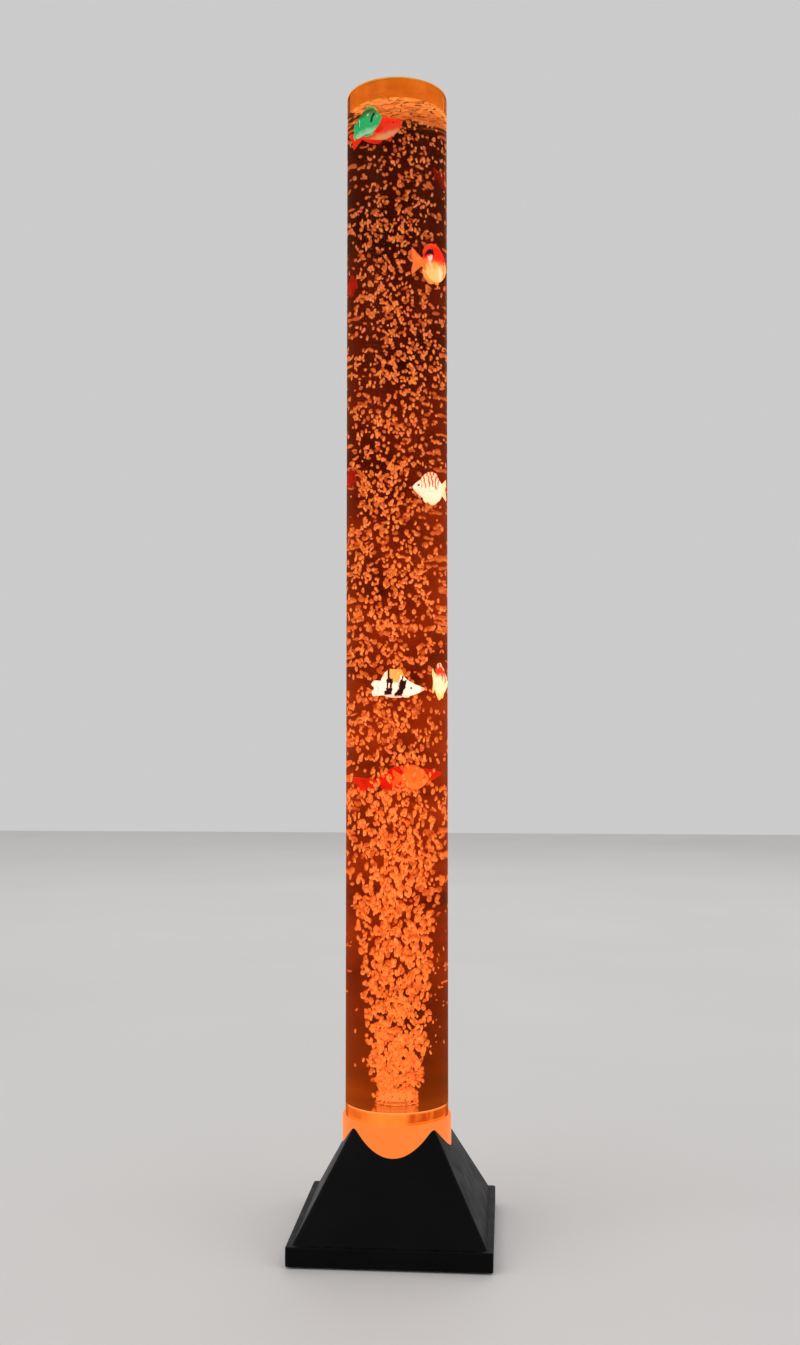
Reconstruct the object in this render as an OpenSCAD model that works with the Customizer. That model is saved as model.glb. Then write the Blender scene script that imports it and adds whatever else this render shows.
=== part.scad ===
// Bubble tube floor lamp: a water-filled clear tube standing in a glowing
// collar on a black pyramid base, with a small air pump and a ring of lights
// inside the base, a plug lid on top and toy fish drifting in the water.
// Millimetres, +Z up, origin on the floor under the middle of the base,
// +Y towards the back, where the inlet and the switch are.

/* [Base] */
// Width of the square skirt
base_w = 200; // [198:1:206]
// Height of the skirt's top edge above the floor
skirt_h = 20; // [20:0.5:21]
// Width of the flat ledge between skirt and pyramid
ledge = 6; // [5.5:0.5:6.5]
// Rise of the pyramid faces for each mm they lean in
hip_slope = 1.85; // [1.83:0.01:1.88]
// How far the faces belly out near the top
face_bulge = 2; // [1.5:0.5:2.5]
// Radius of the rounded hips
hip_r = 3; // [2:0.5:4]
// Wall thickness of the base shell
shell_wall = 2.5; // [2.2:0.1:2.6]
// Height of the rubber feet
foot_h = 3; // [3:0.5:3]

/* [Collar] */
// Outer diameter of the translucent collar
collar_d = 112; // [111.6:0.2:112.2]
// Height of the collar's top edge
collar_top = 124; // [122:1:126]

/* [Tube] */
// Outer diameter of the clear tube
tube_d = 106; // [105.6:0.1:106.2]
// Wall thickness of the tube
tube_wall = 3; // [3:0.1:3.1]
// Height of the tube's lower end
tube_z0 = 94; // [94:0.5:94]
// Height of the tube's rim
tube_z1 = 1188.8; // [1180:0.2:1200]
// Height of the upper face of the tube floor
floor_z = 136; // [136:0.5:136]
// Thickness of the tube floor
floor_t = 10; // [10:0.5:10]
// Height of the water surface
water_z = 1170; // [1170:1:1172]

/* [Lid] */
// Thickness of the lid's flange
lid_t = 2; // [1.6:0.2:2.4]
// Depth of the lid's plug skirt
lid_plug = 9.8; // [8:0.2:10]

/* [Fish] */
// Thickness of the fins
fin_t = 1.2; // [1:0.1:1.4]

/* [Hidden] */
$fn = 72;
eps = 0.01;

tube_r = tube_d / 2;
bore_r = tube_r - tube_wall;
collar_r = collar_d / 2;
w_foot = base_w / 2 - ledge;                      // half width where the pyramid starts
wall_h = shell_wall * sqrt(1 + 1 / pow(hip_slope, 2)); // wall measured level

// half width of the pyramid, and the belly of its faces, at height z
function half_w(z) = w_foot - (z - skirt_h) / hip_slope;
function belly(z) = face_bulge * (z - skirt_h) / 74;

// one level outline: four bellied sides and four rounded corners
side_n = 8;
function quarter(w, b, r) = concat(
    [for (i = [0:side_n]) let (t = -1 + 2 * i / side_n) [w + b * (1 - t * t), t * (w - r)]],
    [for (a = [22.5:22.5:67.5]) [w - r + r * cos(a), w - r + r * sin(a)]]);
function turned(p, a) = [p[0] * cos(a) - p[1] * sin(a), p[0] * sin(a) + p[1] * cos(a)];
function outline(w, b, r) = [for (k = [0:3]) for (p = quarter(w, b, r)) turned(p, 90 * k)];

// a solid through outlines, one for each height in zs
module loft(zs, inset, r) {
    rings = [for (z = zs) [for (p = outline(half_w(z) - inset, belly(z), r)) [p[0], p[1], z]]];
    n = len(rings[0]);
    m = len(rings);
    polyhedron(
        points = [for (ring = rings) for (p = ring) p],
        faces = concat(
            [[for (i = [0:n - 1]) i]],
            [for (j = [0:m - 2]) for (i = [0:n - 1])
                [j * n + i, (j + 1) * n + i, (j + 1) * n + (i + 1) % n]],
            [for (j = [0:m - 2]) for (i = [0:n - 1])
                [j * n + i, (j + 1) * n + (i + 1) % n, j * n + (i + 1) % n]],
            [[for (i = [0:n - 1]) m * n - 1 - i]]));
}
loft_z = [skirt_h - 2, 34, 52, 70, 88, 106, 122];
core_z = [skirt_h - 4, 34, 52, 70, 88, 106, 124];

// square with rounded corners, exact arcs
module rsq(w, r) {
    square([w - 2 * r, w], center = true);
    square([w, w - 2 * r], center = true);
    for (x = [-1, 1], y = [-1, 1]) translate([x * (w / 2 - r), y * (w / 2 - r)]) circle(r, $fn = 32);
}
module slab(w, r, z0, z1) { translate([0, 0, z0]) linear_extrude(z1 - z0) rsq(w, r); }
module rod(r, z0, z1) { translate([0, 0, z0]) cylinder(r = r, h = z1 - z0); }
module ring(r0, r1, z0, z1) {
    difference() { rod(r1, z0, z1); rod(r0, z0 - 1, z1 + 1); }
}
module box(a, b) { translate(a) cube(b - a); }

// places that repeat
plate_screw_at = [[80, 0], [-80, 0], [0, 80], [0, -80]];
collar_screw_at = [[46, 46], [-46, 46], [-46, -46], [46, -46]];
foot_at = [[82, 82], [-82, 82], [-82, -82], [82, -82]];
led_screw_a = [30, 150, 270];
board_at = [[27, -25], [70, -25], [27, 25], [70, 25]];
mount_at = [[-69, -26], [-49, -26], [-69, 26], [-49, 26]];

// ---- base ----
rec_x = 32;   // half width of the recess in the back
rec_y = 72;   // its upright wall
rec_z0 = 28;
rec_z1 = 54;
jack_x = -16;
sw_x = 12;
rear_z = 41;

module base_shell() color("#0b0a0b") difference() {
    union() {
        difference() {
            union() {
                slab(base_w, 2, 1.5, skirt_h);
                loft(loft_z, 0, hip_r);
            }
            slab(base_w - 2 * shell_wall, 1, 0, skirt_h - shell_wall);
            loft(core_z, wall_h, hip_r);
        }
        // bosses for the underside cover
        for (p = plate_screw_at) translate([p[0], p[1], 0])
            rod(3.8, 6, p[1] > 0 ? rec_z0 - 1 : 36);
        // bosses for the collar's flange
        for (p = collar_screw_at) translate([p[0], p[1], 0]) rod(4.5, 70, 98.5);
        // walls of the recess in the back
        intersection() {
            box([-rec_x - 2.5, rec_y - 2.5, rec_z0 - 2.5], [rec_x + 2.5, 92, rec_z1 + 2.5]);
            loft(loft_z, 0, hip_r);
        }
    }
    box([-rec_x, rec_y, rec_z0], [rec_x, 120, rec_z1]);
    for (p = plate_screw_at) translate([p[0], p[1], 0]) rod(1.25, 5, 20);
    for (p = collar_screw_at) translate([p[0], p[1], 0]) rod(1.25, 69, 84);
    translate([jack_x, rec_y - 3, rear_z]) rotate([-90, 0, 0]) cylinder(r = 4.1, h = 4);
    box([sw_x - 9.6, rec_y - 3, rear_z - 6.5], [sw_x + 9.6, rec_y + 1, rear_z + 6.5]);
    rod(collar_r + 0.2, 60, 140);
}

module bottom_plate() color("#17161a") difference() {
    union() {
        slab(base_w - 6.4, 1, 3, 6);
        for (p = board_at) translate([p[0], p[1], 0]) rod(3, 6, 10);
    }
    for (p = plate_screw_at) translate([p[0], p[1], 0]) rod(1.7, 2, 7);
    for (p = board_at) translate([p[0], p[1], 0]) rod(1.05, 4.5, 11);
    for (i = [0:6]) box([-18 + 6 * i - 1.5, -62, 2], [-18 + 6 * i + 1.5, -40, 7]);
    for (i = [0:6]) box([-18 + 6 * i - 1.5, 40, 2], [-18 + 6 * i + 1.5, 62, 7]);
}

module foot_pads() color("#1d1d1f") for (p = foot_at) translate([p[0], p[1], 0])
    rotate_extrude() polygon([[0, 0], [8, 0], [9, 1], [9, foot_h], [0, foot_h]]);

module screw(r, head, z0, z1, top) {   // head below, shank up
    rod(head, z0, z1);
    rod(r, z1, top);
}
module plate_screws() color("#9a9ca0")
    for (p = plate_screw_at) translate([p[0], p[1], 0]) screw(1.2, 2.9, 1, 3, 16);
module collar_screws() color("#9a9ca0")
    for (p = collar_screw_at) translate([p[0], p[1], 0]) screw(1.2, 2.9, 64, 66, 80);

// ---- collar and tube ----
module collar() color("#ff8a3c") difference() {
    union() {
        rotate_extrude($fn = 96) polygon([
            [tube_r + 0.25, 70], [collar_r, 70], [collar_r, collar_top - 1.2],
            [collar_r - 1.2, collar_top], [tube_r + 0.25, collar_top]]);
        ring(44, collar_r - 0.5, 88, tube_z0);
        ring(49, 60, 66, 70);
        for (p = collar_screw_at) {
            translate([p[0], p[1], 0]) rod(5, 66, 70);
            rotate(atan2(p[1], p[0])) box([56, -5, 66], [65.05, 5, 70]);
        }
    }
    for (p = collar_screw_at) translate([p[0], p[1], 0]) rod(1.7, 65, 71);
    for (a = led_screw_a) rotate(a) translate([48.5, 0, 0]) rod(1.05, 87, 93);
}

module tube() color("#ffb98a", 0.35)
    rotate_extrude($fn = 144) polygon([[bore_r, tube_z0], [tube_r, tube_z0],
        [tube_r, tube_z1], [bore_r, tube_z1]]);
module tube_floor() color("#ffa060", 0.6)
    ring(5.2, bore_r - 0.05, floor_z - floor_t, floor_z, $fn = 96);
module floor_cement() color("#ffd9b0")
    translate([0, 0, floor_z - floor_t]) rotate_extrude($fn = 96)
        polygon([[bore_r - 0.05, 0], [46.5, 0], [bore_r - 0.4, -3.4], [bore_r - 0.05, -3.4]]);

// ---- air path ----
module air_nozzle() color("#d8d8d8") difference() {
    union() {
        rod(1.95, 98, 111);
        rod(5, 110, 138);
        rod(9, 137.5, 140.5);
    }
    rod(1.1, 97, 142);
}
module nozzle_gasket() color("#2a2a2a") ring(5.1, 9, floor_z, 137.5);
module nozzle_nut() color("#d8d8d8") difference() {
    translate([0, 0, 120.5]) cylinder(r = 9.4, h = floor_z - floor_t - 120.5, $fn = 6);
    rod(5.1, 119, 127);
}
module diffuser() color("#ffc08a") difference() {
    translate([0, 0, 140.5]) rotate_extrude($fn = 64)
        polygon([[0, 0], [14.2, 0], [14.2, 6], [12.9, 7.5], [0, 7.5]]);
    rod(5, 139, 144);
}
hose_ri = 2.0;
hose_ro = 3.2;
module air_hose_upper() color("#e8e0d8", 0.6) ring(hose_ri, hose_ro, 62, 109.5, $fn = 32);
module air_hose_lower() color("#e8e0d8", 0.6) {
    ring(hose_ri, hose_ro, 40, 50, $fn = 32);
    translate([-14, 0, 40]) rotate([90, 0, 0]) rotate([0, 0, -90])
        rotate_extrude(angle = 90, $fn = 48) translate([14, 0])
            difference() { circle(hose_ro, $fn = 32); circle(hose_ri, $fn = 32); }
    translate([-38, 0, 26]) rotate([0, 90, 0]) ring(hose_ri, hose_ro, 0, 24, $fn = 32);
}
module check_valve_body() color("#3f7fb0") difference() {
    union() {
        rod(1.95, 42, 51);
        rod(7, 50, 62);
        rod(1.95, 61, 70);
    }
    rod(1.0, 41, 71);
    rod(4.5, 53, 59);
}
module check_valve_disc() color("#202020") rod(3.6, 53.1, 54.3, $fn = 48);

// ---- lights ----
module led_plate() color("#b8bcc2") difference() {
    ring(10, 51, 86, 88);
    for (a = led_screw_a) rotate(a) translate([48.5, 0, 0]) rod(1.3, 85, 89);
    translate([24, 0, 0]) rod(3.5, 85, 89);
}
module led_board() color("#f2f2ee") difference() {
    ring(10, 42, 88, 89.6);
    translate([24, 0, 0]) rod(3.5, 85, 92);
}
module led_chips() color("#fff3c0") for (i = [0:11]) rotate(30 * i + 15) translate([31, 0, 0]) {
    box([-2.5, -2.5, 89.6], [2.5, 2.5, 90.8]);
    rod(1.9, 90.8, 91.2, $fn = 24);
}
module led_screws() color("#9a9ca0")
    for (a = led_screw_a) rotate(a) translate([48.5, 0, 0]) screw(1.0, 2.2, 84.4, 86, 92);

// ---- driver board ----
module control_board() color("#1f6b3a") difference() {
    box([22, -30, 10], [75, 30, 11.6]);
    for (p = board_at) translate([p[0], p[1], 0]) rod(1.3, 9, 13);
}
module board_parts() color("#26262a") {
    translate([38, -14, 0]) rod(5, 11.6, 24, $fn = 32);
    translate([52, -14, 0]) rod(4, 11.6, 21, $fn = 32);
    box([34, 2, 11.6], [46, 10, 13.6]);
    box([52, 0, 11.6], [64, 12, 17.6]);
    box([66, -12, 11.6], [69, -2, 26]);
    box([23, 6, 11.6], [29, 16, 18]);
    box([23, -14, 11.6], [29, -4, 18]);
    box([44, 20, 11.6], [56, 26, 18]);
}
module board_screws() color("#9a9ca0") for (p = board_at) translate([p[0], p[1], 0]) {
    rod(2.3, 11.6, 13.2, $fn = 32);
    rod(1.0, 6, 11.6, $fn = 32);
}

// ---- inlet and switch ----
module dc_jack() color("#111113") translate([jack_x, 0, rear_z]) rotate([-90, 0, 0]) {
    difference() {
        union() {
            rod(5.5, 55, 69.5, $fn = 48);
            rod(4, 69, 77, $fn = 48);
        }
        rod(2.8, 66, 78, $fn = 32);
    }
    rod(1, 65, 75.5, $fn = 24);
}
module jack_nut() color("#b9bcc1") translate([jack_x, 0, rear_z]) rotate([-90, 0, 0]) difference() {
    translate([0, 0, rec_y]) cylinder(r = 6.8, h = 2.5, $fn = 6);
    rod(4.05, 70, 77, $fn = 48);
}
module switch_housing() color("#121214") difference() {
    union() {
        box([sw_x - 10.5, rec_y, rear_z - 7.5], [sw_x + 10.5, rec_y + 2, rear_z + 7.5]);
        box([sw_x - 9.5, 56, rear_z - 6.4], [sw_x + 9.5, rec_y + 1, rear_z + 6.4]);
        for (x = [-6, 6]) box([sw_x + x - 2.4, 48, rear_z - 0.4], [sw_x + x + 2.4, 57, rear_z + 0.4]);
    }
    box([sw_x - 8, 62, rear_z - 4.5], [sw_x + 8, 90, rear_z + 4.5]);
    translate([sw_x, 68, 0]) rod(1.05, rear_z - 5.6, rear_z + 5.6, $fn = 32);
}
module switch_rocker() color("#1a1a1c") translate([sw_x, 68, rear_z]) rotate(8) {
    translate([0, 0, -4.2]) linear_extrude(8.4) polygon([[-6.9, -1], [-2, -4.8], [2, -4.8],
        [6.9, -1], [6.9, 5.5], [0, 4.2], [-6.9, 5.5]]);
    rod(1.0, -5.4, 5.4, $fn = 32);
}

// ---- air pump ----
module pump_case() color("#2c2c30") difference() {
    box([-76, -33, 10], [-42, 33, 42]);
    box([-74, -31, 12], [-44, 31, 43]);
    translate([-50, 0, 26]) rotate([0, 90, 0]) cylinder(r = 2.3, h = 12, $fn = 32);
    translate([-43, 24, 38]) rotate([0, 90, 0]) cylinder(r = 2.2, h = 4, center = true, $fn = 32);
}
module pump_cover() color("#34343a") {
    box([-76, -33, 42], [-42, 33, 44]);
    difference() {
        box([-73.8, -30.8, 40.5], [-44.2, 30.8, 42]);
        box([-72.3, -29.3, 40], [-45.7, 29.3, 43]);
    }
}
module pump_core() color("#6d6f74") {
    box([-50, 5, 20], [-46, 29, 32]);
    for (y = [[5, 8], [14, 20], [26, 29]]) box([-58.5, y[0], 20], [-49.9, y[1], 32]);
}
module pump_coil() color("#b5642a") difference() {
    box([-57.5, 9.5, 16], [-50.2, 24.5, 36]);
    box([-59, 13.9, 19.9], [-48, 20.1, 32.1]);
}
module pump_arm() color("#a8abb0") {
    box([-67, -28.5, 20], [-65, 24, 32]);
    translate([-66, -26, 0]) rod(1.3, 20, 32, $fn = 48);
}
module pump_magnet() color("#4a4c52") box([-65, 12, 21], [-61.2, 22, 31]);
module pump_anchor() color("#1c1c1e") difference() {
    box([-71, -30.9, 17], [-61, -24, 35]);
    box([-67.2, -29.2, 19.4], [-64.8, -20, 32.6]);
    translate([-66, -26, 0]) rod(1.38, 19.4, 32.6, $fn = 48);
}
module pump_diaphragm() color("#262628") translate([-65, -8, 26]) rotate([0, 90, 0])
    rotate_extrude($fn = 48) polygon([[0, 0], [3, 0], [3, 2], [7.5, 5.5], [8.5, 5.5],
        [8.5, 9], [6.5, 9], [6.5, 6.8], [2.5, 3.6], [0, 3.6]]);
module pump_valve_block() color("#e6e2da") difference() {
    union() {
        box([-56, -18, 16], [-44.2, 4, 36]);
        translate([-45, 0, 26]) rotate([0, 90, 0]) cylinder(r = 1.95, h = 17, $fn = 32);
    }
    translate([-52, 0, 26]) rotate([0, 90, 0]) cylinder(r = 1.0, h = 30, $fn = 32);
    translate([-57, -8, 26]) rotate([0, 90, 0]) cylinder(r = 5, h = 5, $fn = 32);
}
module pump_mounts() color("#202022") for (p = mount_at) translate([p[0], p[1], 0])
    rod(4, 6, 10, $fn = 32);

// ---- leads ----
function unit(v) = v / norm(v);
function spline(p, i, t) = let (
    a = p[max(i - 1, 0)], b = p[i], c = p[i + 1], d = p[min(i + 2, len(p) - 1)])
    0.5 * (2 * b + (c - a) * t + (2 * a - 5 * b + 4 * c - d) * t * t
        + (3 * b - a - 3 * c + d) * t * t * t);
function route(p, k) = concat(
    [for (i = [0:len(p) - 2]) for (j = [0:k - 1]) spline(p, i, j / k)], [p[len(p) - 1]]);
module lead(p, r, k = 4, n = 8, ref = [0.2, 0.1, 1]) {
    q = route(p, k);
    m = len(q);
    pts = [for (i = [0:m - 1]) let (
        t = unit(q[min(i + 1, m - 1)] - q[max(i - 1, 0)]),
        u = unit(cross(t, ref)), v = cross(u, t))
        for (a = [0:n - 1]) q[i] + r * (cos(360 * a / n) * u + sin(360 * a / n) * v)];
    polyhedron(points = pts, faces = concat(
        [[for (a = [0:n - 1]) a]],
        [for (i = [0:m - 2]) for (a = [0:n - 1]) [i * n + a, (i + 1) * n + a, (i + 1) * n + (a + 1) % n]],
        [for (i = [0:m - 2]) for (a = [0:n - 1]) [i * n + a, (i + 1) * n + (a + 1) % n, i * n + (a + 1) % n]],
        [[for (a = [0:n - 1]) m * n - 1 - a]]));
}
module wiring() color("#b01818") {
    // inlet to switch
    lead([[jack_x, 54.6, rear_z], [jack_x + 2, 48, rear_z], [-6, 43, rear_z], [4, 43, rear_z], [sw_x - 6, 47.6, rear_z]], 1.1);
    // switch to driver board
    lead([[sw_x + 6, 47.6, rear_z], [sw_x + 8, 42, 40], [30, 36, 32], [44, 33, 22], [50, 29, 17], [50, 27.2, 14.8]], 1.1, ref = [1, 0.3, 0.2]);
    // driver board to lamps, up through the carrier's hole
    lead([[22.6, -9, 15], [17, -9, 17], [15, -8, 30], [17, -5, 50], [24, 0, 70], [24, 0, 86], [24, 0, 89]], 1.1, ref = [0.1, 1, 0.1]);
    // driver board to pump coil
    lead([[22.6, 11, 15], [12, 14, 15], [-8, 20, 20], [-28, 24, 34], [-42, 24, 38], [-48, 22, 37.6], [-50, 18, 37.4]], 1.1);
}

// ---- lid ----
module lid() color("#ffa45e") difference() {
    union() {
        rotate_extrude($fn = 96) polygon([[0, tube_z1], [tube_r - 0.2, tube_z1],
            [tube_r - 0.2, tube_z1 + lid_t - 0.6], [tube_r - 0.8, tube_z1 + lid_t], [0, tube_z1 + lid_t]]);
        ring(bore_r - 2.4, bore_r - 0.4, tube_z1 - lid_plug, tube_z1 + eps, $fn = 96);
    }
    for (a = [45:90:315]) rotate(a) translate([24, 0, 0]) rod(1.5, tube_z1 - 1, tube_z1 + 4, $fn = 24);
}

// ---- fish ----
// x, y, z of the middle, heading, nose-up angle, length, height, thickness, down, up
fish_table = [
    [-25.6, -30.6, 1151.8, -40, 0, 37, 32, 7, 60, 0.6],
    [-18.5, -11, 1148, 3, 22, 50, 30, 9, 60, 4],
    [33, 13, 1106, 75, 0, 27, 22, 8, 30, 30],
    [29, -6.5, 1007, 33, 0, 38, 44, 8, 30, 30],
    [-38, -8, 986, 100, 0, 30, 24, 8, 30, 30],
    [30, -7.8, 769, 217, 0, 37, 36, 8, 30, 30],
    [-38, -3, 782, 95, 0, 30, 22, 8, 30, 30],
    [3, -28, 565, 6, 0, 50, 30, 9, 30, 30],
    [36, 0, 568, 80, 0, 32, 40, 8, 30, 30],
    [12, -12, 468, 30, 0, 34, 28, 9, 30, 30],
    [-2, 20, 466, 8, 13, 62, 28, 9, 30, 30]];

function rows(l) = [[-0.20, 0.10, 0.20], [-0.12, 0.30, 0.45], [0.0, 0.62, 0.85], [0.12, 0.74, 1],
    [0.24, 0.66, 0.95], [0.36, 0.42, 0.72], [0.45, 0.18, 0.42], [0.50, 0.05, 0.15]];
module fish_at(i) { f = fish_table[i - 1]; translate([f[0], f[1], f[2]]) rotate([0, 0, f[3]]) rotate([0, -f[4], 0]) fish_body(f[5], f[6], f[7]); }
module fish_body(l, h, t) {
    s = rows(l);
    n = 12;
    m = len(s);
    union() {
        polyhedron(points = [for (r = s) for (a = [0:n - 1])
                [r[0] * l, 0.5 * t * r[2] * cos(360 * a / n), 0.5 * h * r[1] * sin(360 * a / n)]],
            faces = concat(
                [[for (a = [0:n - 1]) a]],
                [for (j = [0:m - 2]) for (a = [0:n - 1]) [j * n + a, (j + 1) * n + (a + 1) % n, j * n + (a + 1) % n]],
                [for (j = [0:m - 2]) for (a = [0:n - 1]) [j * n + a, (j + 1) * n + a, (j + 1) * n + (a + 1) % n]],
                [[for (a = [0:n - 1]) m * n - 1 - a]]));
        // tail
        rotate([90, 0, 0]) translate([0, 0, -fin_t / 2]) linear_extrude(fin_t)
            polygon([[-0.12 * l, 0.04 * h], [-0.5 * l, 0.34 * h], [-0.44 * l, 0], [-0.5 * l, -0.34 * h], [-0.12 * l, -0.04 * h]]);
        // fins above and below
        rotate([90, 0, 0]) translate([0, 0, -fin_t / 2]) linear_extrude(fin_t)
            polygon([[-0.08 * l, 0], [-0.16 * l, 0.40 * h], [0.02 * l, 0.5 * h], [0.26 * l, 0.30 * h], [0.28 * l, 0]]);
        rotate([90, 0, 0]) translate([0, 0, -fin_t / 2]) linear_extrude(fin_t)
            polygon([[-0.08 * l, 0], [-0.16 * l, -0.38 * h], [-0.02 * l, -0.5 * h], [0.2 * l, -0.30 * h], [0.22 * l, 0]]);
    }
}
module fish_1() color("#17a860") fish_at(1);
module fish_2() color("#e0301c") fish_at(2);
module fish_3() color("#c8281c") fish_at(3);
module fish_4() color("#f0b050") fish_at(4);
module fish_5() color("#c8281c") fish_at(5);
module fish_6() color("#f4dcc0") fish_at(6);
module fish_7() color("#c8281c") fish_at(7);
module fish_8() color("#f8f4ec") fish_at(8);
module fish_9() color("#f4e8c0") fish_at(9);
module fish_10() color("#ff9030") fish_at(10);
module fish_11() color("#d83018") fish_at(11);

// ---- water, with the room that each fish drifts in left out ----
module fish_room(f) {
    rise = f[5] * abs(sin(f[4]));
    translate([f[0], f[1], f[2]]) rotate(f[3])
        box([-f[5] / 2 - 2, -f[7] / 2 - 1.5, -f[6] / 2 - rise / 2 - f[8] - 2],
            [f[5] / 2 + 2, f[7] / 2 + 1.5, f[6] / 2 + rise / 2 + f[9] + 2]);
}
module water_fill() color("#7a2c10", 0.5) difference() {
    rod(bore_r - 0.1, floor_z, water_z, $fn = 144);
    rod(9.2, floor_z - 1, 141);
    rod(14.4, 140, 148.2);
    for (f = fish_table) fish_room(f);
}

base_shell();
bottom_plate();
foot_pads();
plate_screws();
collar();
collar_screws();
tube();
tube_floor();
floor_cement();
air_nozzle();
nozzle_gasket();
nozzle_nut();
diffuser();
air_hose_upper();
air_hose_lower();
check_valve_body();
check_valve_disc();
led_plate();
led_board();
led_chips();
led_screws();
control_board();
board_parts();
board_screws();
dc_jack();
jack_nut();
switch_housing();
switch_rocker();
pump_case();
pump_cover();
pump_core();
pump_coil();
pump_arm();
pump_magnet();
pump_anchor();
pump_diaphragm();
pump_valve_block();
pump_mounts();
wiring();
lid();
water_fill();
fish_1();
fish_2();
fish_3();
fish_4();
fish_5();
fish_6();
fish_7();
fish_8();
fish_9();
fish_10();
fish_11();
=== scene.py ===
import math

import bmesh
import bpy
import numpy as np
from mathutils import Matrix, Vector


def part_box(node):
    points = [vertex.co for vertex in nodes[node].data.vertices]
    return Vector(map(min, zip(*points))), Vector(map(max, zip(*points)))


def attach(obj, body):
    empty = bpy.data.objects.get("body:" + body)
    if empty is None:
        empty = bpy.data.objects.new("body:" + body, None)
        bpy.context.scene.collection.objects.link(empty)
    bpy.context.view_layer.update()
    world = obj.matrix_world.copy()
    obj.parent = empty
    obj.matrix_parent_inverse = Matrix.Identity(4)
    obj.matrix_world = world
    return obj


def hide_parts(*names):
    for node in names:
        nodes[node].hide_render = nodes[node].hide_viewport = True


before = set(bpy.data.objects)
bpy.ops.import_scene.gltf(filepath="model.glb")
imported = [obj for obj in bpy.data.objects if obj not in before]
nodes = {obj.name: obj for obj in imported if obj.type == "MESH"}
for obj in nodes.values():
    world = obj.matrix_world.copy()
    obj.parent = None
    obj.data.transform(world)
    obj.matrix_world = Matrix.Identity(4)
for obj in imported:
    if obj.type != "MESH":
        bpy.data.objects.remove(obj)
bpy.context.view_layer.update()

MM = 0.001
scene = bpy.context.scene
scene.view_settings.view_transform = "Standard"
scene.view_settings.look = "None"

# ------------------------------------------------------------------ camera
cam_data = bpy.data.cameras.new("camera")
cam = bpy.data.objects.new("camera", cam_data)
scene.collection.objects.link(cam)
cam.location = (0.11666, -1.42247, 0.50797)
cam.rotation_euler = (math.pi / 2 + 0.04884, 0.0, 0.0796)
cam_data.sensor_fit = "AUTO"
cam_data.sensor_width = 36.0
cam_data.lens = 36.49
cam_data.clip_start = 0.01
cam_data.clip_end = 50.0
scene.camera = cam


# ------------------------------------------------------------------ helpers
def lin(r, g, b):
    """sRGB 0-255 to a linear colour."""
    def one(c):
        c /= 255.0
        return c / 12.92 if c <= 0.04045 else ((c + 0.055) / 1.055) ** 2.4
    return (one(r), one(g), one(b), 1.0)


class Mat:
    """A material built of nodes, in the piece's own coordinates."""

    def __init__(self, name):
        self.m = bpy.data.materials.new(name)
        self.m.use_nodes = True
        self.t = self.m.node_tree
        self.t.nodes.clear()
        self.out = self.t.nodes.new("ShaderNodeOutputMaterial")
        self.at = self.t.nodes.new("ShaderNodeTexCoord").outputs["Object"]

    def add(self, kind, values=None, **settings):
        n = self.t.nodes.new(kind)
        for k, v in settings.items():
            setattr(n, k, v)
        for k, v in (values or {}).items():
            if isinstance(v, bpy.types.NodeSocket):
                self.t.links.new(v, n.inputs[k])
            else:
                n.inputs[k].default_value = v
        return n

    def noise(self, scale, detail=3.0, rough=0.55, vec=None, warp=0.0):
        n = self.add("ShaderNodeTexNoise", {"Vector": vec or self.at, "Scale": scale,
            "Detail": detail, "Roughness": rough, "Distortion": warp})
        return n.outputs["Fac"]

    def cells(self, scale, vec=None, feature="F1"):
        n = self.add("ShaderNodeTexVoronoi", {"Vector": vec or self.at, "Scale": scale}, feature=feature)
        return n.outputs["Distance"]

    def math(self, op, a, b=0.0, c=0.0, clamp=False):
        n = self.add("ShaderNodeMath", operation=op, use_clamp=clamp)
        for i, v in enumerate((a, b, c)):
            if isinstance(v, bpy.types.NodeSocket):
                self.t.links.new(v, n.inputs[i])
            elif i < len(n.inputs):
                n.inputs[i].default_value = v
        return n.outputs[0]

    def span(self, v, a, b, c=0.0, d=1.0, smooth=False):
        n = self.add("ShaderNodeMapRange", {"Value": v, "From Min": a, "From Max": b,
            "To Min": c, "To Max": d}, interpolation_type="SMOOTHSTEP" if smooth else "LINEAR")
        return n.outputs["Result"]

    def ramp(self, fac, stops, mode="LINEAR"):
        n = self.add("ShaderNodeValToRGB", {"Fac": fac})
        r = n.color_ramp
        r.interpolation = mode
        while len(r.elements) > 1:
            r.elements.remove(r.elements[-1])
        r.elements[0].position, r.elements[0].color = stops[0]
        for p, c in stops[1:]:
            e = r.elements.new(p)
            e.color = c
        return n.outputs["Color"]

    def mix(self, fac, a, b, blend="MIX"):
        n = self.add("ShaderNodeMix", data_type="RGBA", blend_type=blend)
        for k, v in ((0, fac), (6, a), (7, b)):
            if isinstance(v, bpy.types.NodeSocket):
                self.t.links.new(v, n.inputs[k])
            else:
                n.inputs[k].default_value = v
        return n.outputs[2]

    def xyz(self, vec=None):
        return self.add("ShaderNodeSeparateXYZ", {"Vector": vec or self.at}).outputs

    def scaled(self, x, y, z):
        return self.add("ShaderNodeMapping", {"Vector": self.at, "Scale": (x, y, z)}).outputs["Vector"]

    def bump(self, height, strength=0.3, distance=0.0005):
        return self.add("ShaderNodeBump", {"Height": height, "Strength": strength,
            "Distance": distance}).outputs["Normal"]

    def principled(self, values, volume=None):
        b = self.add("ShaderNodeBsdfPrincipled", values)
        self.t.links.new(b.outputs[0], self.out.inputs["Surface"])
        return b

    def surface(self, socket):
        self.t.links.new(socket, self.out.inputs["Surface"])


def link(ob):
    scene.collection.objects.link(ob)
    return ob


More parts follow.
